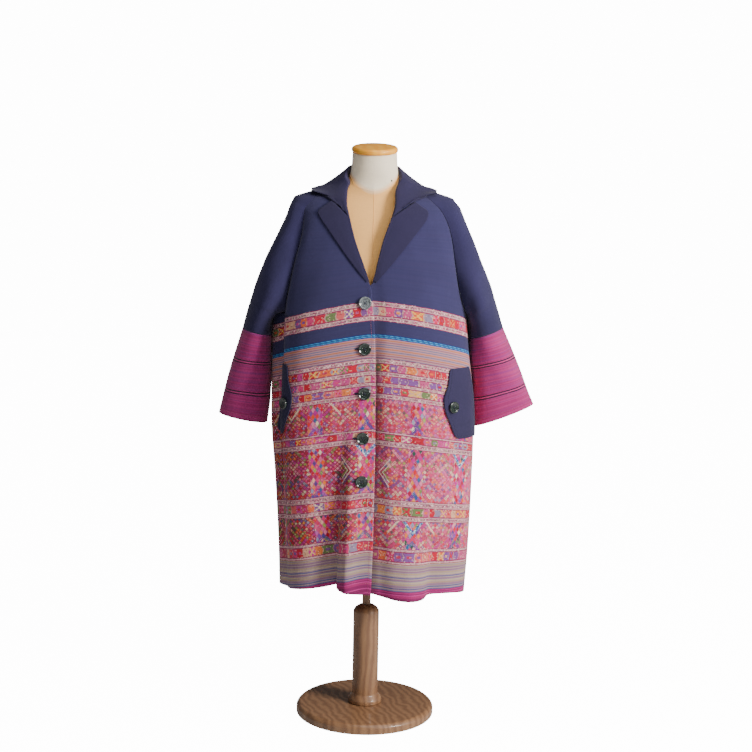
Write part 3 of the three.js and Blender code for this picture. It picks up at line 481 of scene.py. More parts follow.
def softened(grid, middle, reach, passes=70):
    """Pass after pass moves each point near a row halfway to the mean of the rows above and below."""
    rows = np.arange(len(grid))[:, None]
    share = np.linspace(0, 1, grid.shape[1])[None, :]
    weight = np.clip(1.6 * (1 - np.abs(rows - middle) / reach), 0, 1)
    weight = weight * ease(share, 0, 0.16) * (1 - ease(share, 0.84, 1)) * (rows > 0) * (rows < len(grid) - 1)
    for _ in range(passes):
        mean = np.zeros_like(grid)
        mean[1:-1] = (grid[2:] + grid[:-2]) / 2
        grid = grid + (mean - grid) * 0.5 * weight[..., None]
    return grid


# ---------------------------------------------------------------- lapels, collar and flaps
def edge_of(side, z):
    return front_surface(side, heading(edge_x(side, z), z), z)


def inward(side, normal):
    """Direction along the cloth towards the coat's middle."""
    ahead = np.zeros_like(normal)
    ahead[..., 0] = -side
    return unit(ahead + normal * side * normal[..., :1])


def lifted_from(side, angle, z, clearance):
    """A front's points moved out by a clearance."""
    point, normal = front_surface(side, angle, z)
    return point + normal * np.asarray(clearance, float)[..., None]


def lapel_grid(side):
    """A rolled edge of five points, then straight across the front to the outer edge."""
    name, z = SIDES[side], LAPEL_LEVELS
    share = (z - z[0]) / (z[-1] - z[0])
    point, normal = edge_of(side, z)
    out_x, out_z = at(LAPEL, name + "_x", share), at(LAPEL, name + "_z", share)
    off = inward(side, normal)
    grown = ease(share, 0, 0.2)
    over, under, reach, radius = (blend(foot, full, grown) for foot, full in (
        (1.9, OVER), (3.2, UNDER), (2.0, ROLL_REACH), (1.2, ROLL_RADIUS)))
    radius = radius[:, None] * 0.75
    inside, outside = point - normal * under[:, None], point + normal * over[:, None]
    path = [inside, inside + off * radius,
            point + off * reach[:, None] + normal * (over - under)[:, None] / 2,
            outside + off * radius, outside]
    for t in (0.1, 0.2, 0.4, 0.6, 0.8, 0.93, 1.0):
        level = blend(z, out_z, t)
        x = blend(point[:, 0], out_x, t)
        arch = 1.4 * math.sin(math.pi * min(t, 0.5) / 0.5 * 0.5) * (1 - t)
        path.append(lifted_from(side, heading(x, level), level, over + arch * grown))
    return refined(np.stack(path, 1), 5, 4)


def clear_of_body(point, clearance):
    """Points that lie less than the clearance off the body are moved out to it."""
    angle = np.degrees(np.arctan2(point[..., 0], -point[..., 1]))
    normal = body_normal(angle, point[..., 2])
    depth = ((point - body_point(angle, point[..., 2])) * normal).sum(-1)
    push = np.maximum(clearance - depth, 0)
    return point + normal * push[..., None]


def collar_half(side):
    """Seam, roll and outer edge by heading: flat on the front, upright round the neck."""
    c = COLLAR
    on_roll = (c["angle"] == 0)[:, None]
    edge_point, edge_normal = edge_of(side, c["seam_z"])
    seam = np.where(on_roll, edge_point, body_point(side * c["angle"], c["seam_z"]))
    normal = np.where(on_roll, edge_normal, body_normal(side * c["angle"], c["seam_z"]))
    flat = (c["edge_y"] == 0)[:, None]
    on_front = lifted_from(side, heading(side * c["edge_x"], c["edge_z"]), c["edge_z"], OVER)
    outer = np.where(flat, on_front, np.stack([side * c["edge_x"], c["edge_y"], c["edge_z"]], -1))
    off = np.where(on_roll, inward(side, normal), np.array([0, 0, 1.0]))
    around = unit(seam * np.array([1, 1, 0.0]))
    stand = c["stand"][:, None]
    lay = unit(blend(normal, around, stand))
    shift = (-3 if side < 0 else -2) * (1 - c["angle"] / 180)
    free = np.stack([side * c["roll_x"] + shift, c["roll_y"], c["roll_z"]], -1)
    roll = np.where(on_roll, seam + off * (ROLL_REACH + 26 * stand) - normal * 0.6, free)
    half = blend((OVER + UNDER) / 2, 2.75, stand)
    path = [seam - lay * (UNDER + 3.5 * stand), roll - off * ROLL_RADIUS - lay * half, roll,
            roll - off * ROLL_RADIUS + lay * half]
    last = path[-1]
    for t in (1 / 6, 1 / 3, 1 / 2, 2 / 3, 5 / 6, 1.0):
        point = blend(last, outer, t)
        point[:, 2] += 2 * c["stand"] * 4 * t * (1 - t)
        path.append(clear_of_body(point, OVER + 4 * np.minimum(1, 3 * c["stand"])))
    return np.stack(path, 1)


def collar_grid():
    right, left = collar_half(-1), collar_half(1)
    return refined(np.concatenate([right, left[:-1][::-1]]), 6, 5)


def flap_grid(side):
    shift = FLAP_TURN if side < 0 else 0
    share = np.linspace(0, 1, 13)[None, :]
    angle = side * (blend(FLAP["inner"][:, None], FLAP["outer"][:, None], share) - shift)
    z = FLAP["z"][:, None] + 0 * share
    clear = FLAP["clearance"][:, None] + FACED + 0 * share
    return refined(lifted_from(side, angle, z, clear), 6, 4)


# ---------------------------------------------------------------- the dress form
def torso_point(turn, z):
    """Superellipse ring by level, with the neck leaning forwards and its top cut to the cap's tilt."""
    depth = np.where(np.cos(turn) > 0, at(FORM, "front", z), at(FORM, "back", z))
    power = 2 / at(FORM, "power", z)
    x = at(FORM, "half", z) * np.sign(np.sin(turn)) * np.abs(np.sin(turn)) ** power
    y = -NECK_LEAN * ease(z, 1262, 1340) - depth * np.sign(np.cos(turn)) * np.abs(np.cos(turn)) ** power
    tilt = math.radians(CAP_TILT)
    drop = (CAP_THICK / 2 + SEAM_GAP) / math.cos(tilt)
    cut = CAP_MIDDLE + math.tan(tilt) * (y + CAP_FORWARD) - drop
    return np.stack(np.broadcast_arrays(x, y, z + (cut - 1326) * ease(z, 1300, 1326)), -1)


# ---------------------------------------------------------------- meshes
def added(name, data):
    """A new object of the scene, at the origin."""
    made = bpy.data.objects.new(name, data)
    bpy.context.scene.collection.objects.link(made)
    return made


def finish_mesh(name, verts, faces, material, uv=None, merge=1e-6):
    """Writes points in millimetres into a mesh in metres, merges shared points and adds the piece."""
    mesh = bpy.data.meshes.new(name)
    mesh.from_pydata((np.asarray(verts, float) / 1000).tolist(), [], np.asarray(faces).tolist())
    if uv is not None:
        layer = mesh.uv_layers.new(name="cloth")
        index = np.zeros(len(mesh.loops), np.int32)
        mesh.loops.foreach_get("vertex_index", index)
        layer.data.foreach_set("uv", (uv[index] / 1000).astype(np.float32).ravel())
    bm = bmesh.new()
    bm.from_mesh(mesh)
    bmesh.ops.remove_doubles(bm, verts=bm.verts, dist=merge)
    bmesh.ops.dissolve_degenerate(bm, edges=bm.edges, dist=1e-7)
    bm.to_mesh(mesh)
    bm.free()
    mesh.polygons.foreach_set("use_smooth", np.full(len(mesh.polygons), True))
    mesh.materials.append(material)
    piece = added(name, mesh)
    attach(piece, "root")
    return piece


def quads(rows, cols, flip=False):
    """Corner numbers of a grid's faces."""
    i, j = np.meshgrid(np.arange(rows - 1), np.arange(cols - 1), indexing="ij")
    a = (i * cols + j).ravel()
    faces = np.stack([a, a + 1, a + cols + 1, a + cols], 1)
    return faces[:, ::-1] if flip else faces


def cloth_piece(part, end, kind, grid, facing, u=None, v=None):
    """A sheet of cloth in place of a node: the grid is its outer face, and its wall lies inwards.
    """
    thickness, look, slot = KINDS_OF_CLOTH[kind]
    u, v = arcs(grid) if u is None else u, arcs(grid, 0) if v is None else v
    uv = np.stack([u, v], -1).reshape(-1, 2)
    piece = finish_mesh(part + "_cloth" + end, grid.reshape(-1, 3), quads(*grid.shape[:2], facing < 0),
                        look, uv)
    wall = piece.modifiers.new("wall", "SOLIDIFY")
    wall.thickness = thickness / 1000
    wall.offset = -1
    wall.use_even_offset = False
    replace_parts(piece, part + end)


def rounded(profile, radius, steps=4):
    """The profile with each inner corner cut back by a radius and drawn round with a parabola."""
    p = np.array(profile, float)
    out = [p[:1]]
    for before, here, after in zip(p[:-2], p[1:-1], p[2:]):
        a, b = before - here, after - here
        reach = min(radius, np.linalg.norm(a) * 0.45, np.linalg.norm(b) * 0.45)
        start, end = here + unit(a) * reach, here + unit(b) * reach
        t = np.linspace(0, 1, steps + 1)[:, None]
        out.append(start * (1 - t) ** 2 + 2 * here * t * (1 - t) + end * t ** 2)
    return np.concatenate([*out, p[-1:]])


def lathe(profile, count):
    """A profile of radius and height turned round Z, from its lower end up, so faces point out."""
    turn = np.linspace(0, 2 * np.pi, count + 1)
    radius, height = profile[:, :1], profile[:, 1:]
    return np.stack([radius * np.cos(turn), radius * np.sin(turn), height + 0 * turn], -1)


def moved(points, matrix):
    """The points turned and shifted by a matrix in millimetres."""
    matrix = np.array(matrix)
    return points @ matrix[:3, :3].T + matrix[:3, 3]


def squared(point, normal):
    """The turn and shift that bring Z to a normal at a point."""
    turn = Vector(normal).to_track_quat("Z", "Y").to_matrix().to_4x4()
    return Matrix.Translation(Vector(point)) @ turn


def turned_piece(name, profile, material, count, stands_for=None, matrix=Matrix()):
    """A profile turned round Z as one piece, in place of a node where one is given."""
    grid = lathe(profile, count)
    piece = finish_mesh(name, moved(grid.reshape(-1, 3), matrix), quads(*grid.shape[:2]), material)
    if stands_for:
        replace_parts(piece, stands_for)


def tube(path, radius, sides=8, closed=False):
    """Circles along a path, square to its direction, capped at both ends by shrinking to points."""
    path = np.asarray(path, float)
    along = unit(np.gradient(path, axis=0))
    helper = np.where(np.abs(along[:, 2:]) > 0.9, [[1.0, 0, 0]], [[0, 0, 1.0]])
    a = unit(np.cross(helper, along))
    b = np.cross(along, a)
    turn = np.linspace(0, 2 * np.pi, sides + 1)
    size = np.full(len(path), float(radius))
    if not closed:
        path, a, b, size = (np.concatenate([q[:1], q, q[-1:]]) for q in (path, a, b, size))
        size[[0, -1]] = 0
    circle = a[:, None] * np.cos(turn)[:, None] + b[:, None] * np.sin(turn)[:, None]
    return path[:, None] + circle * size[:, None, None]


def grids_piece(name, grids, material, merge=1e-6):
    """Several grids as one piece."""
    verts, faces, start = [], [], 0
    for grid in grids:
        verts.append(grid.reshape(-1, 3))
        faces.append(quads(*grid.shape[:2]) + start)
        start += len(verts[-1])
    return finish_mesh(name, np.concatenate(verts), np.concatenate(faces), material, merge=merge)


def stitches(name, path, normal, lift, material, length=3.0, gap=4.6):
    """Short round-ended threads half sunk in the cloth, at even distances along a line."""
    both = np.concatenate([path + normal * lift, normal], 1)
    walked = np.concatenate([[0], np.cumsum(np.linalg.norm(np.diff(both, axis=0), axis=1))])
    stops = np.arange(gap / 2, walked[-1], gap)
    both = np.stack([np.interp(stops, walked, column) for column in both.T], -1)
    middle, up = both[:, :3], unit(both[:, 3:])
    along = unit(np.gradient(middle, axis=0))
    side = unit(np.cross(up, along))
    place, size = np.array([[-0.5, 0.15], [-0.36, 0.8], [0, 1.0], [0.36, 0.8], [0.5, 0.15]]).T[..., None]
    turn = np.linspace(0, 2 * np.pi, 7)[:-1]
    x = place * length + 0 * turn
    y = size * STITCH_RADIUS * np.cos(turn)
    z = size * STITCH_RADIUS * np.sin(turn) + STITCH_RADIUS * 0.3
    x, y, z = (part.reshape(-1, 1) for part in (x, y, z))
    verts = middle[:, None] + along[:, None] * x + side[:, None] * y + up[:, None] * z
    i, j = np.meshgrid(np.arange(4), np.arange(6), indexing="ij")
    a, b = (i * 6 + j).ravel(), (i * 6 + (j + 1) % 6).ravel()
    first, last = np.array([[0, 1, 2, 3], [0, 3, 4, 5]]), np.array([[27, 26, 25, 24], [29, 28, 27, 24]])
    faces = np.concatenate([np.stack([a + 6, b + 6, b, a], 1), first, last])
    starts = np.arange(len(middle))[:, None, None] * len(x)
    finish_mesh(name, verts.reshape(-1, 3), (faces[None] + starts).reshape(-1, 4), material, merge=1e-8)


# ---------------------------------------------------------------- materials
def tint(code):
    """A hex colour as linear light."""
    parts = [int(code[i:i + 2], 16) / 255 for i in (0, 2, 4)]
    return [p / 12.92 if p <= 0.04045 else ((p + 0.055) / 1.055) ** 2.4 for p in parts] + [1.0]


def feed(tree, value, socket):
    """Gives a socket its value: a link, a hex colour or plain numbers."""
    value = value.out if isinstance(value, Field) else value
    if isinstance(value, bpy.types.NodeSocket):
        tree.links.new(value, socket)
    else:
        socket.default_value = tint(value) if isinstance(value, str) else value


def node(tree, kind, inputs=(), **settings):
    """A new shader node with its settings made, and its inputs fed by number or name."""
    made = tree.nodes.new("ShaderNode" + kind)
    for key, value in settings.items():
        setattr(made, key, value)
    for key, value in dict(inputs).items():
        feed(tree, value, made.inputs[key])
    return made


class Field:
    """A number that changes over a surface, written with plain sums that become Math nodes."""

    def __init__(self, tree, out):
        self.tree, self.out = tree, out

    def act(self, kind, *others):
        made = node(self.tree, "Math", enumerate((self, *others)), operation=kind)
        return Field(self.tree, made.outputs[0])

    def clamped(self):
        return self.least(1.0).most(0.0)

    def between(self, a, b):
        """The number a where this is 0, and b where it is 1."""
        return a + (b - a) * self

    def mix(self, a, b):
        """The colour a where this is 0, and b where it is 1."""
        return mixed(self.tree, self, a, b)

    def chance(self, b, c):
        """An even random number for each cell that three whole numbers name."""
        cell = node(self.tree, "CombineXYZ", enumerate((self, b, c))).outputs[0]
        return Field(self.tree, node(self.tree, "TexWhiteNoise", {"Vector": cell}).outputs["Value"])

    def pick(self, colours):
        """One of the colours, in equal steps of a number from 0 to 1."""
        ramp = node(self.tree, "ValToRGB", {0: self})
        bar = ramp.color_ramp
        bar.interpolation = "CONSTANT"
        colours = colours.split() if isinstance(colours, str) else colours
        for i, colour in enumerate(colours):
            stop = bar.elements[i] if i < 2 else bar.elements.new(i / len(colours))
            stop.position = i / len(colours)
            stop.color = tint(colour) if isinstance(colour, str) else colour
        return ramp.outputs["Color"]

    def deal(self, b, c, colours):
        """One of the colours by chance for each cell."""
        return self.chance(b, c).pick(colours)


for word, operation in {
        "__add__": "ADD", "__sub__": "SUBTRACT", "__mul__": "MULTIPLY", "__truediv__": "DIVIDE",
        "plus": "MULTIPLY_ADD", "whole": "FLOOR", "part": "FRACT", "size": "ABSOLUTE",
        "over": "GREATER_THAN", "under": "LESS_THAN", "near": "COMPARE", "mirrored": "PINGPONG",
        "least": "MINIMUM", "most": "MAXIMUM", "wave": "SINE"}.items():
    setattr(Field, word, lambda self, *others, kind=operation: self.act(kind, *others))


def mixed(tree, share, a, b, kind="MIX"):
    return node(tree, "Mix", {0: share, 6: a, 7: b}, data_type="RGBA", blend_type=kind).outputs[2]


def parts_of(tree, vector, scale=1000.0):
    """A vector's parts as numbers, in millimetres."""
    return [Field(tree, out) * scale for out in node(tree, "SeparateXYZ", {0: vector}).outputs]


def noise(tree, vector, scale, detail=2.0, rough=0.5):
    """Soft noise. Three numbers for the scale draw it out along one way."""
    if isinstance(scale, tuple):
        vector, scale = node(tree, "Mapping", {"Vector": vector, "Scale": scale}).outputs[0], 1.0
    inputs = {"Vector": vector, "Scale": scale, "Detail": detail, "Roughness": rough}
    return Field(tree, node(tree, "TexNoise", inputs).outputs["Fac"])


def new_group(name, place, number, value, *outputs):
    """A group that takes a place and a number and gives out numbers, with its inner ends."""
    tree = bpy.data.node_groups.new(name, "ShaderNodeTree")
    tree.interface.new_socket(place, in_out="INPUT", socket_type="NodeSocketVector")
    tree.interface.new_socket(number, in_out="INPUT", socket_type="NodeSocketFloat").default_value = value
    for label in outputs:
        tree.interface.new_socket(label, in_out="OUTPUT", socket_type="NodeSocketFloat")
    source = tree.nodes.new("NodeGroupInput")
    return tree, source.outputs[0], Field(tree, source.outputs[1]), tree.nodes.new("NodeGroupOutput").inputs


HALF_TURN = 3.14159


def weave_group():
    """Threads over and under: a product of two sines, with uneven threads as noise along each way."""
    tree, cloth, thread, result = new_group("plain_weave", "Cloth", "Thread", 1.1, "Height", "Shade")
    u, v, _ = parts_of(tree, cloth)
    over = (u / thread * HALF_TURN).wave() * (v / thread * HALF_TURN).wave()
    slub, warp = noise(tree, cloth, (12, 700, 1)), noise(tree, cloth, (500, 9, 1), 1)
    cloudy = noise(tree, cloth, (14, 14, 1), 3)
    feed(tree, over * 0.5 + slub * 0.35 + warp * 0.25, result["Height"])
    # the shade is uneven thread tone from the noises, plus a small painted shade: the over term makes the
    # dips between thread crossings darker
    feed(tree, slub * 0.12 + warp * 0.10 + cloudy * 0.30 + over * 0.04 + 0.74, result["Shade"])
    return tree


def grain_group():
    """Long wood grain: noise drawn out along one way bends a row of dark lines."""
    tree, place, spacing, result = new_group("wood_grain", "Place", "Spacing", 0.006, "Lines", "Height")
    x, y, _ = parts_of(tree, place, 1.0)
    wander = noise(tree, place, (18, 18, 5), 3)
    lines = ((x + y * 0.35 + wander * 0.05) / spacing).wave() * 0.5 + 0.5
    pores = noise(tree, place, (700, 700, 40))
    feed(tree, lines * 0.6 + pores * 0.4, result["Lines"])
    feed(tree, lines * 0.3 + pores * 0.7, result["Height"])
    return tree


WEAVE, GRAIN = weave_group(), grain_group()


def material(name, rough, sheen=0.0, coat=0.0):
    """A material, its nodes and its shader."""
    made = bpy.data.materials.new(name)
    made.use_nodes = True
    shader = made.node_tree.nodes["Principled BSDF"]
    for label, value in {"Roughness": rough, "Sheen Weight": sheen, "Sheen Roughness": 0.5,
                         "Coat Weight": coat, "Specular IOR Level": 0.25 if sheen else 0.5}.items():
        shader.inputs[label].default_value = value
    return made, made.node_tree, shader


def cloth_uv(tree):
    return node(tree, "UVMap", uv_map="cloth").outputs[0]


def object_place(tree):
    return node(tree, "TexCoord").outputs["Object"]


def dress(tree, shader, colour, height, depth, strength=0.6):
    """Gives the shader its colour, and its relief by a height."""
    feed(tree, colour, shader.inputs["Base Color"])
    relief = node(tree, "Bump", {"Strength": strength, "Distance": depth, "Height": height})
    feed(tree, relief.outputs[0], shader.inputs["Normal"])


def woven(tree, shader, colour, thread=1.1):
    """Shades a colour by the weave and gives the surface its threads."""
    weave = node(tree, "Group", {"Thread": thread, "Cloth": cloth_uv(tree)}, node_tree=WEAVE).outputs
    dress(tree, shader, mixed(tree, 1.0, colour, weave["Shade"], "MULTIPLY"), weave["Height"], 0.0002)
    feed(tree, Field(tree, weave["Shade"]) * 0.2 + 0.72, shader.inputs["Roughness"])


# The cloth's bands from the top down: the height at which each ends, and its kind.
KINDS = ["navy", "dotted", "motif", "blue", "fine", "diamonds", "grey", "magenta"]
BANDS = [
    (1011, "navy"), (999, "dotted"), (979, "motif"), (967, "dotted"), (938, "navy"), (928, "blue"),
    (883, "fine"), (871, "dotted"), (854, "motif"), (843, "dotted"), (828, "motif"), (819, "dotted"),
    (803, "motif"), (791, "dotted"), (717, "diamonds"), (711, "dotted"), (696, "motif"), (682, "dotted"),
    (562, "diamonds"), (546, "dotted"), (526, "motif"), (513, "dotted"), (447, "diamonds"),
    (439, "dotted"), (416, "motif"), (409, "dotted"), (345, "grey"), (200, "magenta"),
]
CLOTH_TOP = 1300
THREADS = """c8142e d42a68 9a2450 e4521c e8cfa8 b81f86 7a4a9c d62f6e e08a3c 3a6088 b01226 e0608c 93a04a d8282a
    e8a890 2f5244 c42088 e0784c 8a90ac a8143c d8507c 5a3a7d d83a6a e87a34 b85aa0 c01a30 75824a e07a9a cc3058
    c8486e""".split()
BLOCKS = """b8142c c83a6c d8603a 7a4a8c 8a7a94 c01a34 d09a7c 66764a bc3a80 d8743c b03050 7a4a86 b01a2c cc5a5c
    c02a40 b84a78""".split()
REPEAT = 118.0         # width of one repeat of the fields, whose second half mirrors the first
REPEAT_START = 52.0
TILT_STEP = 10.6       # size of a small diamond along its slanting rows


def dotted_band(u, w, high, seed):
    """Edging: a zigzag of small dots between thin dark lines."""
    zigzag = (w - high * 0.5 - u.mirrored(4.0) * 0.9 + 1.8).size().under(1.3)
    dots = (u / 3.2).whole().deal(seed, 3.0, "e6c2c4 8a5a74 6a3450 e2b2b4 9a7888 b23f6c 8a8a70")
    ground = (w / 1.5).whole().deal((u / 40.0).whole(), 9.0, "b67e86 a96e7a c08a8e a4727e")
    pale_lines = w.near(2.6, 0.8).most((high - w).near(2.6, 0.8))
    look = pale_lines.mix(zigzag.mix(ground, dots), "c898a0")
    return (w.under(1.5) + (high - w).under(1.5)).mix(look, "84244c")


def motif_band(u, w, high, seed):
    """Blocks of uneven width, some plain and some with a lozenge or a cross of small steps."""
    slant = (w / high - 0.5).size() * (u / 12.0).wave() * 9.0
    place = (u + (u / 31.0).wave() * 9.0 + slant) / 18.0 + seed * 7.0
    cell, x, y = place.whole(), place.part() - 0.5, w / high - 0.5
    x = ((x * 9.0).whole() + 0.5) / 9.0
    step_y = ((y * 7.0).whole() + 0.5) / 7.0
    lozenge = ((x.size() + step_y.size()) * 2.0).under(0.5) * cell.chance(seed, 3.0).over(0.4)
    look = lozenge.mix(cell.deal(seed, 1.0, BLOCKS), cell.deal(seed, 2.0, BLOCKS[::-1]))
    cross = (x.size() - step_y.size()).size().under(0.09) * cell.chance(seed, 7.0).over(0.74)
    look = cross.mix(look, cell.deal(seed, 4.0, "e8c8a8 d84a86 b8182e e8b050"))
    look = (x.size().over(0.4) * cell.chance(seed, 5.0).over(0.45)).mix(look, "b58f88")
    return y.size().over(0.45).mix(look, "94365a")


def diamond_field(u, w, high, seed):
    """Small diamonds in mirrored repeats, with columns, nested lozenges and triangles over them."""
    tree = u.tree
    reach = (u - REPEAT_START).mirrored(REPEAT / 2)
    height = w - high * 0.5
    pair, half_pair = (u / REPEAT - 0.44).whole(), (u / (REPEAT / 2) - 0.44).whole()
    one, two = (reach + height) / TILT_STEP, (reach - height) / TILT_STEP
    slanting = height.over(0.0).between(two.whole().chance(seed + 3.0, pair), one.whole().chance(seed, pair))
    dealt = one.whole().chance(two.whole(), seed + 5.0).over(0.62)
    spot = dealt.between(one.whole().chance(two.whole(), seed), slanting)
    inside = (one.part() - 0.5).size().most((two.part() - 0.5).size())
    # the ground's tone is random for each half repeat, and also painted shade: it grows darker and browner
    # steadily towards negative u, which darkens the right front
    tone = half_pair.chance(seed, 8.0) * 0.4 + u / 500.0 + 0.3
    ground = tone.clamped().mix("5e1010", "be5478")
    look = inside.under(0.395).mix(ground, spot.pick(THREADS))
    seat = two.whole().chance(one.whole(), seed)
    centre = (seat * 2.0 - 1.0).pick("ecd0b0 e8b04c 40604a e8a0b8 3a5a88")
    look = (inside.under(0.15) * seat.over(0.5)).mix(look, centre)
    look = mixed(tree, 0.3, look, ground)

    tall, other = height / 17.0 + u / 10.0, height / 17.0 - u / 10.0
    slim = (tall.part() - 0.5).size().most((other.part() - 0.5).size()).under(0.43)
    column = slim.mix("a8447a", tall.whole().deal(other.whole(), seed, THREADS[::-1]))
    look = reach.over(41.0).mix(look, column)

    which = pair.chance(seed, 11.0)
    lattice = ((u + w) / 3.4).part().over(0.38)
    ring = reach / 26.0 + height.size() / 33.0
    nest = ring.near(1.0, 0.07).most(ring.near(0.66, 0.05)) * high.over(90.0) * lattice * which.over(0.35)
    look = nest.mix(look, which.pick("ecd9b8 e8b45c efd8cc d86a9c"))
    wedge, top = (reach - REPEAT / 2).size(), high - w
    vee = (wedge + top * 0.75).near(21.0, 4.2) * which.over(0.55)
    speck = ((u + w) / 3.6).whole().deal(((u - w) / 3.6).whole(), 1.0, "2f5f98 dfe5ec 4f7fb4 22407a 8fa6c8")
    look = vee.mix(look, speck)
    low_vee = (wedge + w * 0.9).near(15.0, 5.0) * which.under(0.75) * ((u - w) / 4.4).part().over(0.3)
    look = low_vee.mix(look, (u / REPEAT).whole().deal(seed, 6.0, "2c3f8a 5a2f85 1f5a8a 6a4fa0"))
    small_vee = (reach + top * 0.8).near(24.0, 2.8) * high.under(90.0) * lattice * which.over(0.45)
    return small_vee.mix(look, "e8d6b4")


def striped_bands(u, v, w):
    """The bands with no motifs: colours dealt to thin lines, and a twisted rope in the blue one."""
    fine = (w / 2.5).whole().deal(4.0, 2.0, "8a6070 7a6880 9a6a78 b06a50 8a5a6a 6f6a84")
    fine = ((w / 5.0).part().over(0.5) * 0.75).mix(fine, "bc8488")
    rope = w.near(3.0, 0.9).most(w.near(6.8, 0.8)) * ((u + w * 4.0) / 13.0).part().over(0.3)
    blue = w.over(8.8).mix(rope.mix("153a7a", "4398c8"), "1a2a5c")
    line = (w / 2.6).whole()
    grey = line.deal(7.0, 5.0, "4f4c7a 8a6a80 b09c82 5d5884 86607a a48a70")
    grey = ((w / 5.2).part().over(0.5) * 0.7).mix(grey, "98808a")
    magenta = line.deal(8.0, 5.0, "a42a6e 9a2462 b0347c 7f1c56")
    navy = (v / 3.0).whole().deal(2.0, 5.0, "322f55 333056 312e54 332f55")
    return {"navy": navy, "blue": blue, "fine": fine, "grey": grey, "magenta": magenta}


def banded_cloth(name):
    """The hand-woven cloth: bands by height, each with its own repeat along the weft.

    Every band is cut out of the height by steps, and its repeats are lattices of whole and
    fractional parts of the two cloth coordinates, with colours dealt to the cells by chance.
    """
    made, tree, shader = material(name, 0.85, sheen=0.12)
    u, v, _ = parts_of(tree, cloth_uv(tree))
    wobble = noise(tree, cloth_uv(tree), (30, 30, 1)) * 1.6 - 0.8
    on_left = u.over(LEFT_BOLT / 2)
    u = u - on_left * LEFT_BOLT
    # painted shade: a strip of the left front beside the right front's edge is darkened as the lap's shadow,
    # fading out up the chest
    painted_lap_shade = ((u - 15.0).size() / -20.0 + 1.0).most(0.0) * on_left
    u, v = u + wobble, v + wobble
    painted_lap_shade = painted_lap_shade * ((v - 1000.0) / -140.0).clamped()

    rising = BANDS[::-1]
    low = [edge for edge, _ in rising]
    index = v.over(low[1])
    base = index.plus(low[1] - low[0], low[0])
    for below, edge in zip(low[1:], low[2:]):
        step = v.over(edge)
        index = index + step
        base = step.plus(edge - below, base)
    w = v - base
    facts = [[KINDS.index(kind) / 10, (top - edge) / 256, i * 0.37 % 1, 1]
             for i, ((edge, kind), top) in enumerate(zip(rising, low[1:] + [CLOTH_TOP]))]
    told = node(tree, "SeparateColor", {0: ((index + 0.5) / len(rising)).pick(facts)}).outputs
    kind, high, seed = Field(tree, told[0]), Field(tree, told[1]) * 256, Field(tree, told[2])

    looks = {"dotted": dotted_band(u, w, high, seed), "motif": motif_band(u, w, high, seed),
             "diamonds": diamond_field(u, w, high, seed), **striped_bands(u, v, w)}
    colour = looks["navy"]
    is_kind = {label: kind.near(KINDS.index(label) / 10, 0.04) for label in KINDS[1:]}
    for label, here in is_kind.items():
        colour = here.mix(colour, looks[label])
    knot = (u / 3.0).whole().chance((v / 2.6).whole(), 3.0)
    worked = is_kind["dotted"] + is_kind["motif"] + is_kind["diamonds"] * 0.55
    colour = (worked * knot.over(0.9) * 0.4).mix(colour, "ecc8b0")
    colour = (worked * knot.under(0.12) * 0.4).mix(colour, "5a1a34")
    # the painted lap shade darkens the colour towards 1c0a12 here
    woven(tree, shader, (painted_lap_shade * 0.8).mix(colour, "1c0a12"))
    return made


def navy_cloth(name, code, deep):
    """Plain navy weave with a slow change of tone."""
    made, tree, shader = material(name, 0.85, sheen=0.10)
    woven(tree, shader, noise(tree, cloth_uv(tree), (5, 9, 1)).mix(deep, code), 1.2)
    return made


def cuff_cloth(name):
    """Magenta weave with fine stripes, and dark double lines with a bright one between them."""
    made, tree, shader = material(name, 0.85, sheen=0.15)
    v = parts_of(tree, cloth_uv(tree))[1]
    colour = (v / 2.4).whole().deal(1.0, 2.0, "a02a6a a83272 9a2866 963070 a83070 9c2a68 923074 a43270")
    for width, tone, places in ((1.4, "2c1430", (70.0, 76.0, 146.0, 152.0, 213.0)),
                                (1.2, "c0407c", (73.0, 149.0))):
        for line in places:
            colour = v.near(line, width).mix(colour, tone)
    woven(tree, shader, colour)
    return made


def linen_cloth(name):
    """Pale linen with a cream neck above the curved seam and a warmer chest below it."""
    made, tree, shader = material(name, 0.9, sheen=0.1)
    place = object_place(tree)
    x, _, z = parts_of(tree, place)
    above = z - (x * x * NECK_SEAM_CURVE + NECK_SEAM_LOW)
    colour = (above / 16.0 + 0.6).clamped().mix("ffc072", "fff0d6")
    threads, other = noise(tree, place, (60, 60, 900)), noise(tree, place, (900, 900, 60))
    tone = threads * 0.18 + other * 0.18 + 0.80
    dress(tree, shader, mixed(tree, 1.0, colour, tone, "MULTIPLY"), threads + other, 0.0003)
    return made


def wood(name, light, dark, spacing, rough):
    """Varnished wood: dark lines of grain, which are also a little smoother."""
    made, tree, shader = material(name, rough, coat=0.25)
    grain = node(tree, "Group", {"Spacing": spacing, "Place": object_place(tree)}, node_tree=GRAIN).outputs
    lines = Field(tree, grain["Lines"])
    dress(tree, shader, lines.mix(dark, light), grain["Height"], 0.0002, 0.4)
    feed(tree, lines * -0.15 + (rough + 0.12), shader.inputs["Roughness"])
    return made


def shell_finish(name, deep, mid, pale):
    """Polished shell with drifting paler clouds and thin veins."""
    made, tree, shader = material(name, 0.16, coat=0.6)
    place = object_place(tree)
    clouds, veins = noise(tree, place, 160.0, 4, 0.6), noise(tree, place, 420.0, 3, 0.7)
    colour = (veins * 3.0 - 1.5).clamped().mix((clouds * 2.2 - 0.6).clamped().mix(deep, mid), pale)
    dress(tree, shader, colour, veins, 0.0002, 0.3)
    return made


def thread_finish(name, code, pale):
    """Sewing thread, with its twist as a fine noise."""
    made, tree, shader = material(name, 0.6, sheen=0.2)
    twist = noise(tree, object_place(tree), 1500.0)
    dress(tree, shader, twist.mix(code, pale), twist, 0.0001, 0.5)
    return made


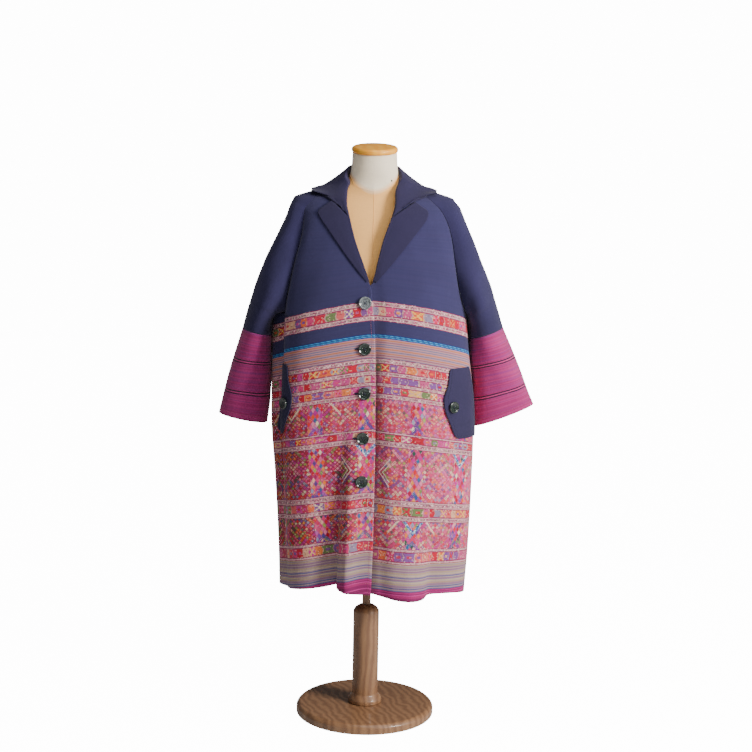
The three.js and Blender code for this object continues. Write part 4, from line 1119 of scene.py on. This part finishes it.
PATTERN = banded_cloth("banded_cloth")
NAVY = navy_cloth("navy_cloth", "322d54", "242142")
NAVY_FACED = navy_cloth("navy_faced", "2e2849", "26223e")
CUFF = cuff_cloth("cuff_cloth")
LINEN = linen_cloth("form_linen")
PALE_WOOD = wood("pale_wood", "ffb838", "f09c20", 0.0035, 0.42)
DARK_WOOD = wood("stand_wood", "9a7250", "6c4a32", 0.0030, 0.45)
SHELL = shell_finish("dark_shell", "0a0f0c", "1c2a24", "5c6f67")
GREY_SHELL = shell_finish("grey_shell", "30363a", "7c8488", "b8bec2")
NAVY_THREAD = thread_finish("navy_thread", "15142c", "2c2a4c")
PINK_THREAD = thread_finish("pink_thread", "963f5e", "b46a80")

# Wall, material and slot of each kind of cloth.
KINDS_OF_CLOTH = {
    "woven": (CLOTH, PATTERN, "woven_cloth"), "navy": (CLOTH, NAVY, "navy_cloth"),
    "magenta": (CLOTH, CUFF, "magenta_cloth"), "faced": (BAND, NAVY_FACED, "navy_cloth"),
}


# ---------------------------------------------------------------- the coat
def pulled(grid, first=True, last=True):
    """Moves the side borders back from their seams by half the gap."""
    grid = grid.copy()
    if first:
        grid[:, 0] += unit(grid[:, 1] - grid[:, 0]) * SEAM_GAP / 2
    if last:
        grid[:, -1] += unit(grid[:, -2] - grid[:, -1]) * SEAM_GAP / 2
    return grid


def cuff_grid(side):
    return arm_grid(side, np.linspace(CUFF_ROW, 6, 56))


for side, name in SIDES.items():
    end, below = "_" + name, ["front_cloth_" + name]
    grid, normal, u = front_grid(side)
    height = cloth_height(side, u, grid[..., 2])
    cloth_piece("front", end, "woven", pulled(grid, first=False), side,
                u if side < 0 else u + LEFT_BOLT, height)
    stitches("hem_stitches" + end, grid[HEM_ROW], normal[HEM_ROW], 0.05, PINK_THREAD, 3.2, 5.2)

    sleeve = np.concatenate([raglan_grid(side), arm_grid(side, np.linspace(0.05, CUFF_ROW, 14))])
    sleeve = creased(softened(sleeve, UNDERARM_ROW, 15), SLEEVE_CREASES[side], -side)
    sleeve[:RAGLAN_ROWS] = pulled(sleeve[:RAGLAN_ROWS])
    sleeve[-1] += unit(sleeve[-2] - sleeve[-1]) * SEAM_GAP / 2
    cloth_piece("sleeve", end, "navy", sleeve, -side)

    plain = cuff_grid(side)
    cuff = creased(plain, CUFF_CREASES[side], -side)
    cuff[0] += unit(cuff[1] - cuff[0]) * SEAM_GAP / 2
    down = arcs(cuff, 0).mean(1)[:, None] + 0 * cuff[..., 0]
    cloth_piece("cuff", end, "magenta", cuff, -side, v=down)
    out = normals_of(plain, -side)
    stitches("cuff_stitches" + end, plain[-5], out[-5], 0.1, PINK_THREAD, 3.0, 4.8)

    cloth_piece("lapel", end, "faced", lapel_grid(side), side)
    flap = flap_grid(side)
    cloth_piece("flap", end, "faced", flap, side)
    border, facing = (np.concatenate([g[-1:3:-1, 5], g[5, 5:-5], g[4:, -6]])
                      for g in (flap, normals_of(flap, side)))
    stitches("flap_stitches" + end, border, facing, 0.1, NAVY_THREAD)

grid, normal, u = back_grid()
cloth_piece("back", "", "woven", pulled(grid), 1, u,
            back_cloth_height(u, grid[..., 2]))
stitches("hem_stitches_back", grid[HEM_ROW], normal[HEM_ROW], 0.05, PINK_THREAD, 3.2, 5.2)
cloth_piece("collar", "", "faced", collar_grid(), -1)


# ---------------------------------------------------------------- buttons
def button_grids(radius):
    """A button with four holes. Its middle is four quarters, each a blend from a hole's circle to the
    quarter's own border, on the top and underneath; the rim is a profile turned round the axis."""
    inner, top = radius * 0.62, BUTTON_LIFT + BUTTON_DISH
    n = 12
    t = np.linspace(0, 1, n + 1)[:, None]
    arc = np.linspace(0, np.pi / 2, 2 * n + 1)[:, None]
    border = np.concatenate([t[:-1] * [[inner, 0]], inner * np.hstack([np.cos(arc), np.sin(arc)])[:-1],
                             [[0, inner]] * (1 - t)])
    centre = np.array([HOLE_PLACE, HOLE_PLACE])
    toward = border - centre
    turn = np.unwrap(np.arctan2(toward[:, 1], toward[:, 0]))
    circle = centre + HOLE_RADIUS * np.stack([np.cos(turn), np.sin(turn)], 1)
    s = np.linspace(0, 1, 5)[:, None, None]
    flat = border[None] * (1 - s) + circle[None] * s
    hollow = top - 0.5 * (1 - (np.linalg.norm(flat, axis=-1) / inner) ** 2)
    upper = np.concatenate([flat, hollow[..., None]], -1)
    under = np.concatenate([flat, np.full_like(hollow, BUTTON_LIFT)[..., None]], -1)[::-1]
    quarter = np.concatenate([upper, under])
    grids = []
    for k in range(4):
        c, s = math.cos(k * math.pi / 2), math.sin(k * math.pi / 2)
        grids.append(quarter @ np.array([[c, s, 0], [-s, c, 0], [0, 0, 1]]))
    low, high = BUTTON_LIFT, BUTTON_LIFT + BUTTON_RIM
    profile = rounded([[inner, low], [radius * 0.86, low], [radius, low + 1.2], [radius, high - 1.4],
                       [radius * 0.88, high], [radius * 0.7, top + 0.1], [inner, top]], 1.2)
    return [*grids, lathe(profile, 8 * n)]


def sew_button(name, stands_for, radius, point, normal, finish):
    """A button, the two crossed pairs of threads through its holes, and the thread wound below it."""
    matrix = squared(point, normal)
    piece = grids_piece(name, [moved(g, matrix) for g in button_grids(radius)], finish, merge=5e-5)
    mesh = bmesh.new()
    mesh.from_mesh(piece.data)
    bmesh.ops.recalc_face_normals(mesh, faces=mesh.faces)
    mesh.to_mesh(piece.data)
    mesh.free()
    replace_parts(piece, stands_for)
    strands, t = [], np.linspace(0, 1, 13)[:, None]
    for way in (1, -1):
        start = HOLE_PLACE * np.array([1, way])
        for shift in (-0.35, 0.35):
            line = start * (1 - t) - start * t + [shift * 0.7, shift * way]
            rise = BUTTON_LIFT + BUTTON_DISH - 3.4 * np.abs(2 * t - 1) ** 6 + (0.3 if way < 0 else 0)
            strands.append(tube(np.hstack([line, rise]), 0.32, 6))
    turns = np.linspace(0, 12 * np.pi, 120)
    wound = np.stack([1.9 * np.cos(turns), 1.9 * np.sin(turns), np.linspace(0.4, 1.7, 120)], 1)
    strands.append(tube(wound, 0.3, 6))
    grids_piece(name + "_thread", [moved(g, matrix) for g in strands], NAVY_THREAD, merge=1e-8)
    return matrix


def buttonhole(name, matrix, shift, half=14.5):
    """A worked slit: one thread wound in a flat long ring, and inside it a dark strand along the cut, which
    is painted shade for the opening.
    """
    turn = np.linspace(0, 2 * np.pi, 61)
    wave = 0.25 * np.sign(np.sin(turn * 30))
    ring = np.stack([shift + (half + 1) * np.sign(np.cos(turn)) * np.abs(np.cos(turn)) ** 0.35,
                     (1.5 + wave) * np.sin(turn), 0 * turn + 0.35], 1)
    # painted shade: a dark thread strand along the cut stands in for the shade in the opening
    slit = np.linspace([shift - half, 0, 0.1], [shift + half, 0, 0.1], 12)
    grids = [tube(ring, 0.6, 6, closed=True), tube(slit, 0.7, 6)]
    grids_piece(name, [moved(g, matrix) for g in grids], NAVY_THREAD, merge=1e-8)


for i, (z, x) in enumerate(np.array(BUTTONS, float)):
    point, normal = front_surface(-1, heading(x, z), z)
    matrix = sew_button(f"shell_button_{i + 1}", f"button_{i + 1}", BUTTON_RADIUS, point, normal,
                        GREY_SHELL if i == 0 else SHELL)
    buttonhole(f"buttonhole_{i + 1}", matrix, -7.0)
for side, name in SIDES.items():
    angle = np.array(side * (FLAP_BUTTON["angle"] - (FLAP_TURN if side < 0 else 0)))
    z = np.array(float(FLAP_BUTTON["z"]))
    point, normal = front_surface(side, angle, z)
    sew_button("shell_flap_button_" + name, "flap_button_" + name, FLAP_BUTTON["radius"],
               point + normal * (at(FLAP, "clearance", z) + FACED), normal, SHELL)

# ---------------------------------------------------------------- the right front's edge
z = np.linspace(336, 1042, 200)
point, normal = edge_of(-1, z)
roll = tube(point - normal * 0.7, 0.7, 8)
height = cloth_height(-1, np.full(len(roll), -12.0), roll[:, :, 2].mean(1))
across, height = np.broadcast_arrays(np.linspace(-12, -9, 9), height[:, None])
finish_mesh("front_edge_fold", roll.reshape(-1, 3), quads(*roll.shape[:2]), PATTERN,
            np.stack([across, height], -1).reshape(-1, 2))
line = point - inward(-1, normal) * 7
for name, part, thread, slot in (("front_edge_stitches", z < NAVY_FROM, PINK_THREAD, "woven_cloth"),
                                 ("front_edge_stitches_upper", z >= NAVY_FROM, NAVY_THREAD, "navy_cloth")):
    stitches(name, line[part], normal[part], 0.05, thread)

# ---------------------------------------------------------------- the dress form and its stand
turn = np.linspace(0, 2 * np.pi, 129)[None, :]
z = np.concatenate([np.linspace(640, 1205, 90), np.linspace(1205, 1290, 50)[1:],
                    np.linspace(1290, 1326, 14)[1:]])
body = torso_point(turn, z[:, None])
bottom, top = (ring.mean(1, keepdims=True) for ring in (body[:1], body[-1:]))
rings = [*(bottom + (body[:1] - bottom) * s for s in (0.0, 0.5)), body,
         *(top + (body[-1:] - top) * s for s in (0.5, 0.0))]
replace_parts(grids_piece("form_linen_torso", [np.concatenate(rings)], LINEN), "form_torso")

turn = np.linspace(-np.pi / 2, np.pi / 2, 60)
z = NECK_SEAM_LOW + NECK_SEAM_CURVE * (52 * np.sin(turn)) ** 2
grids_piece("neck_seam", [tube(torso_point(turn, z), 0.8)], LINEN)
z = np.linspace(1000, 1252, 60)
grids_piece("chest_seam", [tube(torso_point(0 * z, z), 0.7)], LINEN)
pin_at = squared(torso_point(np.array(0.72), np.array(1277.0)) + [0, -0.9, 0], (0.62, -1, 0))
pin = [[0, -0.8], [1.7, -0.6], [2.1, 0.2], [1.2, 1.2], [0, 1.5]]
turned_piece("neck_pin", rounded(pin, 0.6), SHELL, 24, matrix=pin_at)

half = CAP_THICK / 2
tilted = Matrix.Translation((0, -CAP_FORWARD, CAP_MIDDLE)) @ Matrix.Rotation(math.radians(CAP_TILT), 4, "X")
cap = [[0, -half], [CAP_RADIUS - 3, -half], [CAP_RADIUS, -half + 3], [CAP_RADIUS, half - 4],
       [CAP_RADIUS - 4, half], [12, half + 2], [0, half + 2.4]]
turned_piece("cap_wood", rounded(cap, 2.5, 6), PALE_WOOD, 96, "neck_cap", tilted)
pole = [[0, 268], [10, 268], [10, 639.7], [0, 639.7]]
turned_piece("pole_wood", rounded(pole, 0.8), DARK_WOOD, 48, "stand_pole")
column = [[0, 24.3], [40, 24.3], [40, 34.3], [31, 46.3], [31, 252], [26, 260], [17, 265.5], [12, 267.5],
          [0, 267.5]]
turned_piece("column_wood", rounded(column, 3, 6), DARK_WOOD, 72, "stand_column")
base = [[0, 0], [163, 0], [165, 2], [165, 17], [158, 24], [0, 24]]
turned_piece("base_wood", rounded(base, 4, 6), DARK_WOOD, 128, "stand_base")


# ---------------------------------------------------------------- floor, light and camera
def shown_white(tree, socket):
    """Bright to the camera's own rays alone, and dim to all others."""
    seen = Field(tree, node(tree, "LightPath").outputs["Is Camera Ray"])
    feed(tree, seen * 14.0 + 0.15, socket)


edge = np.linspace(-7, 7, 5)
flat = np.stack(np.meshgrid(edge, edge) + [np.zeros((5, 5))], -1)
floor_mesh = bpy.data.meshes.new("floor")
floor_mesh.from_pydata(flat.reshape(-1, 3).tolist(), [], quads(5, 5).tolist())
floor = added("floor", floor_mesh)
paper, tree, shader = material("studio_paper", 0.9)
shader.inputs["Base Color"].default_value = (0.55, 0.55, 0.55, 1)
shader.inputs["Emission Color"].default_value = (1, 1, 1, 1)
shown_white(tree, shader.inputs["Emission Strength"])
floor_mesh.materials.append(paper)


def lamp(name, place, aim, size, power, colour=(1, 1, 1)):
    light = bpy.data.lights.new(name, "AREA")
    light.shape, light.size, light.energy, light.color = "SQUARE", size, power, colour
    made = added(name, light)
    made.location = place
    made.rotation_euler = (Vector(aim) - Vector(place)).to_track_quat("-Z", "Y").to_euler()


lamp("key_light", (3.2, -2.2, 2.1), (0.05, 0, 0.85), 1.2, 275, (1, 0.97, 0.93))
lamp("fill_light", (-2.6, -3.2, 1.8), (0, 0, 0.8), 2.4, 7, (0.96, 0.98, 1))
lamp("top_light", (0.5, -1.0, 3.3), (0, 0, 1.1), 2.0, 34)
world = bpy.data.worlds.new("studio")
world.use_nodes = True
background = world.node_tree.nodes["Background"]
background.inputs[0].default_value = (1, 1, 1, 1)
shown_white(world.node_tree, background.inputs[1])
bpy.context.scene.world = world

camera_data = bpy.data.cameras.new("camera")
camera_data.lens = 75.4
camera_data.sensor_width = 36
camera = added("camera", camera_data)
looking_down = Matrix.Rotation(math.radians(90 - 8.5), 4, "X")
camera.matrix_world = (Matrix.Translation((0.0125, -3.659, 1.367)) @ looking_down
                       @ Matrix.Rotation(math.radians(1.1), 4, "Z"))
bpy.context.scene.camera = camera

bpy.context.view_layer.update()
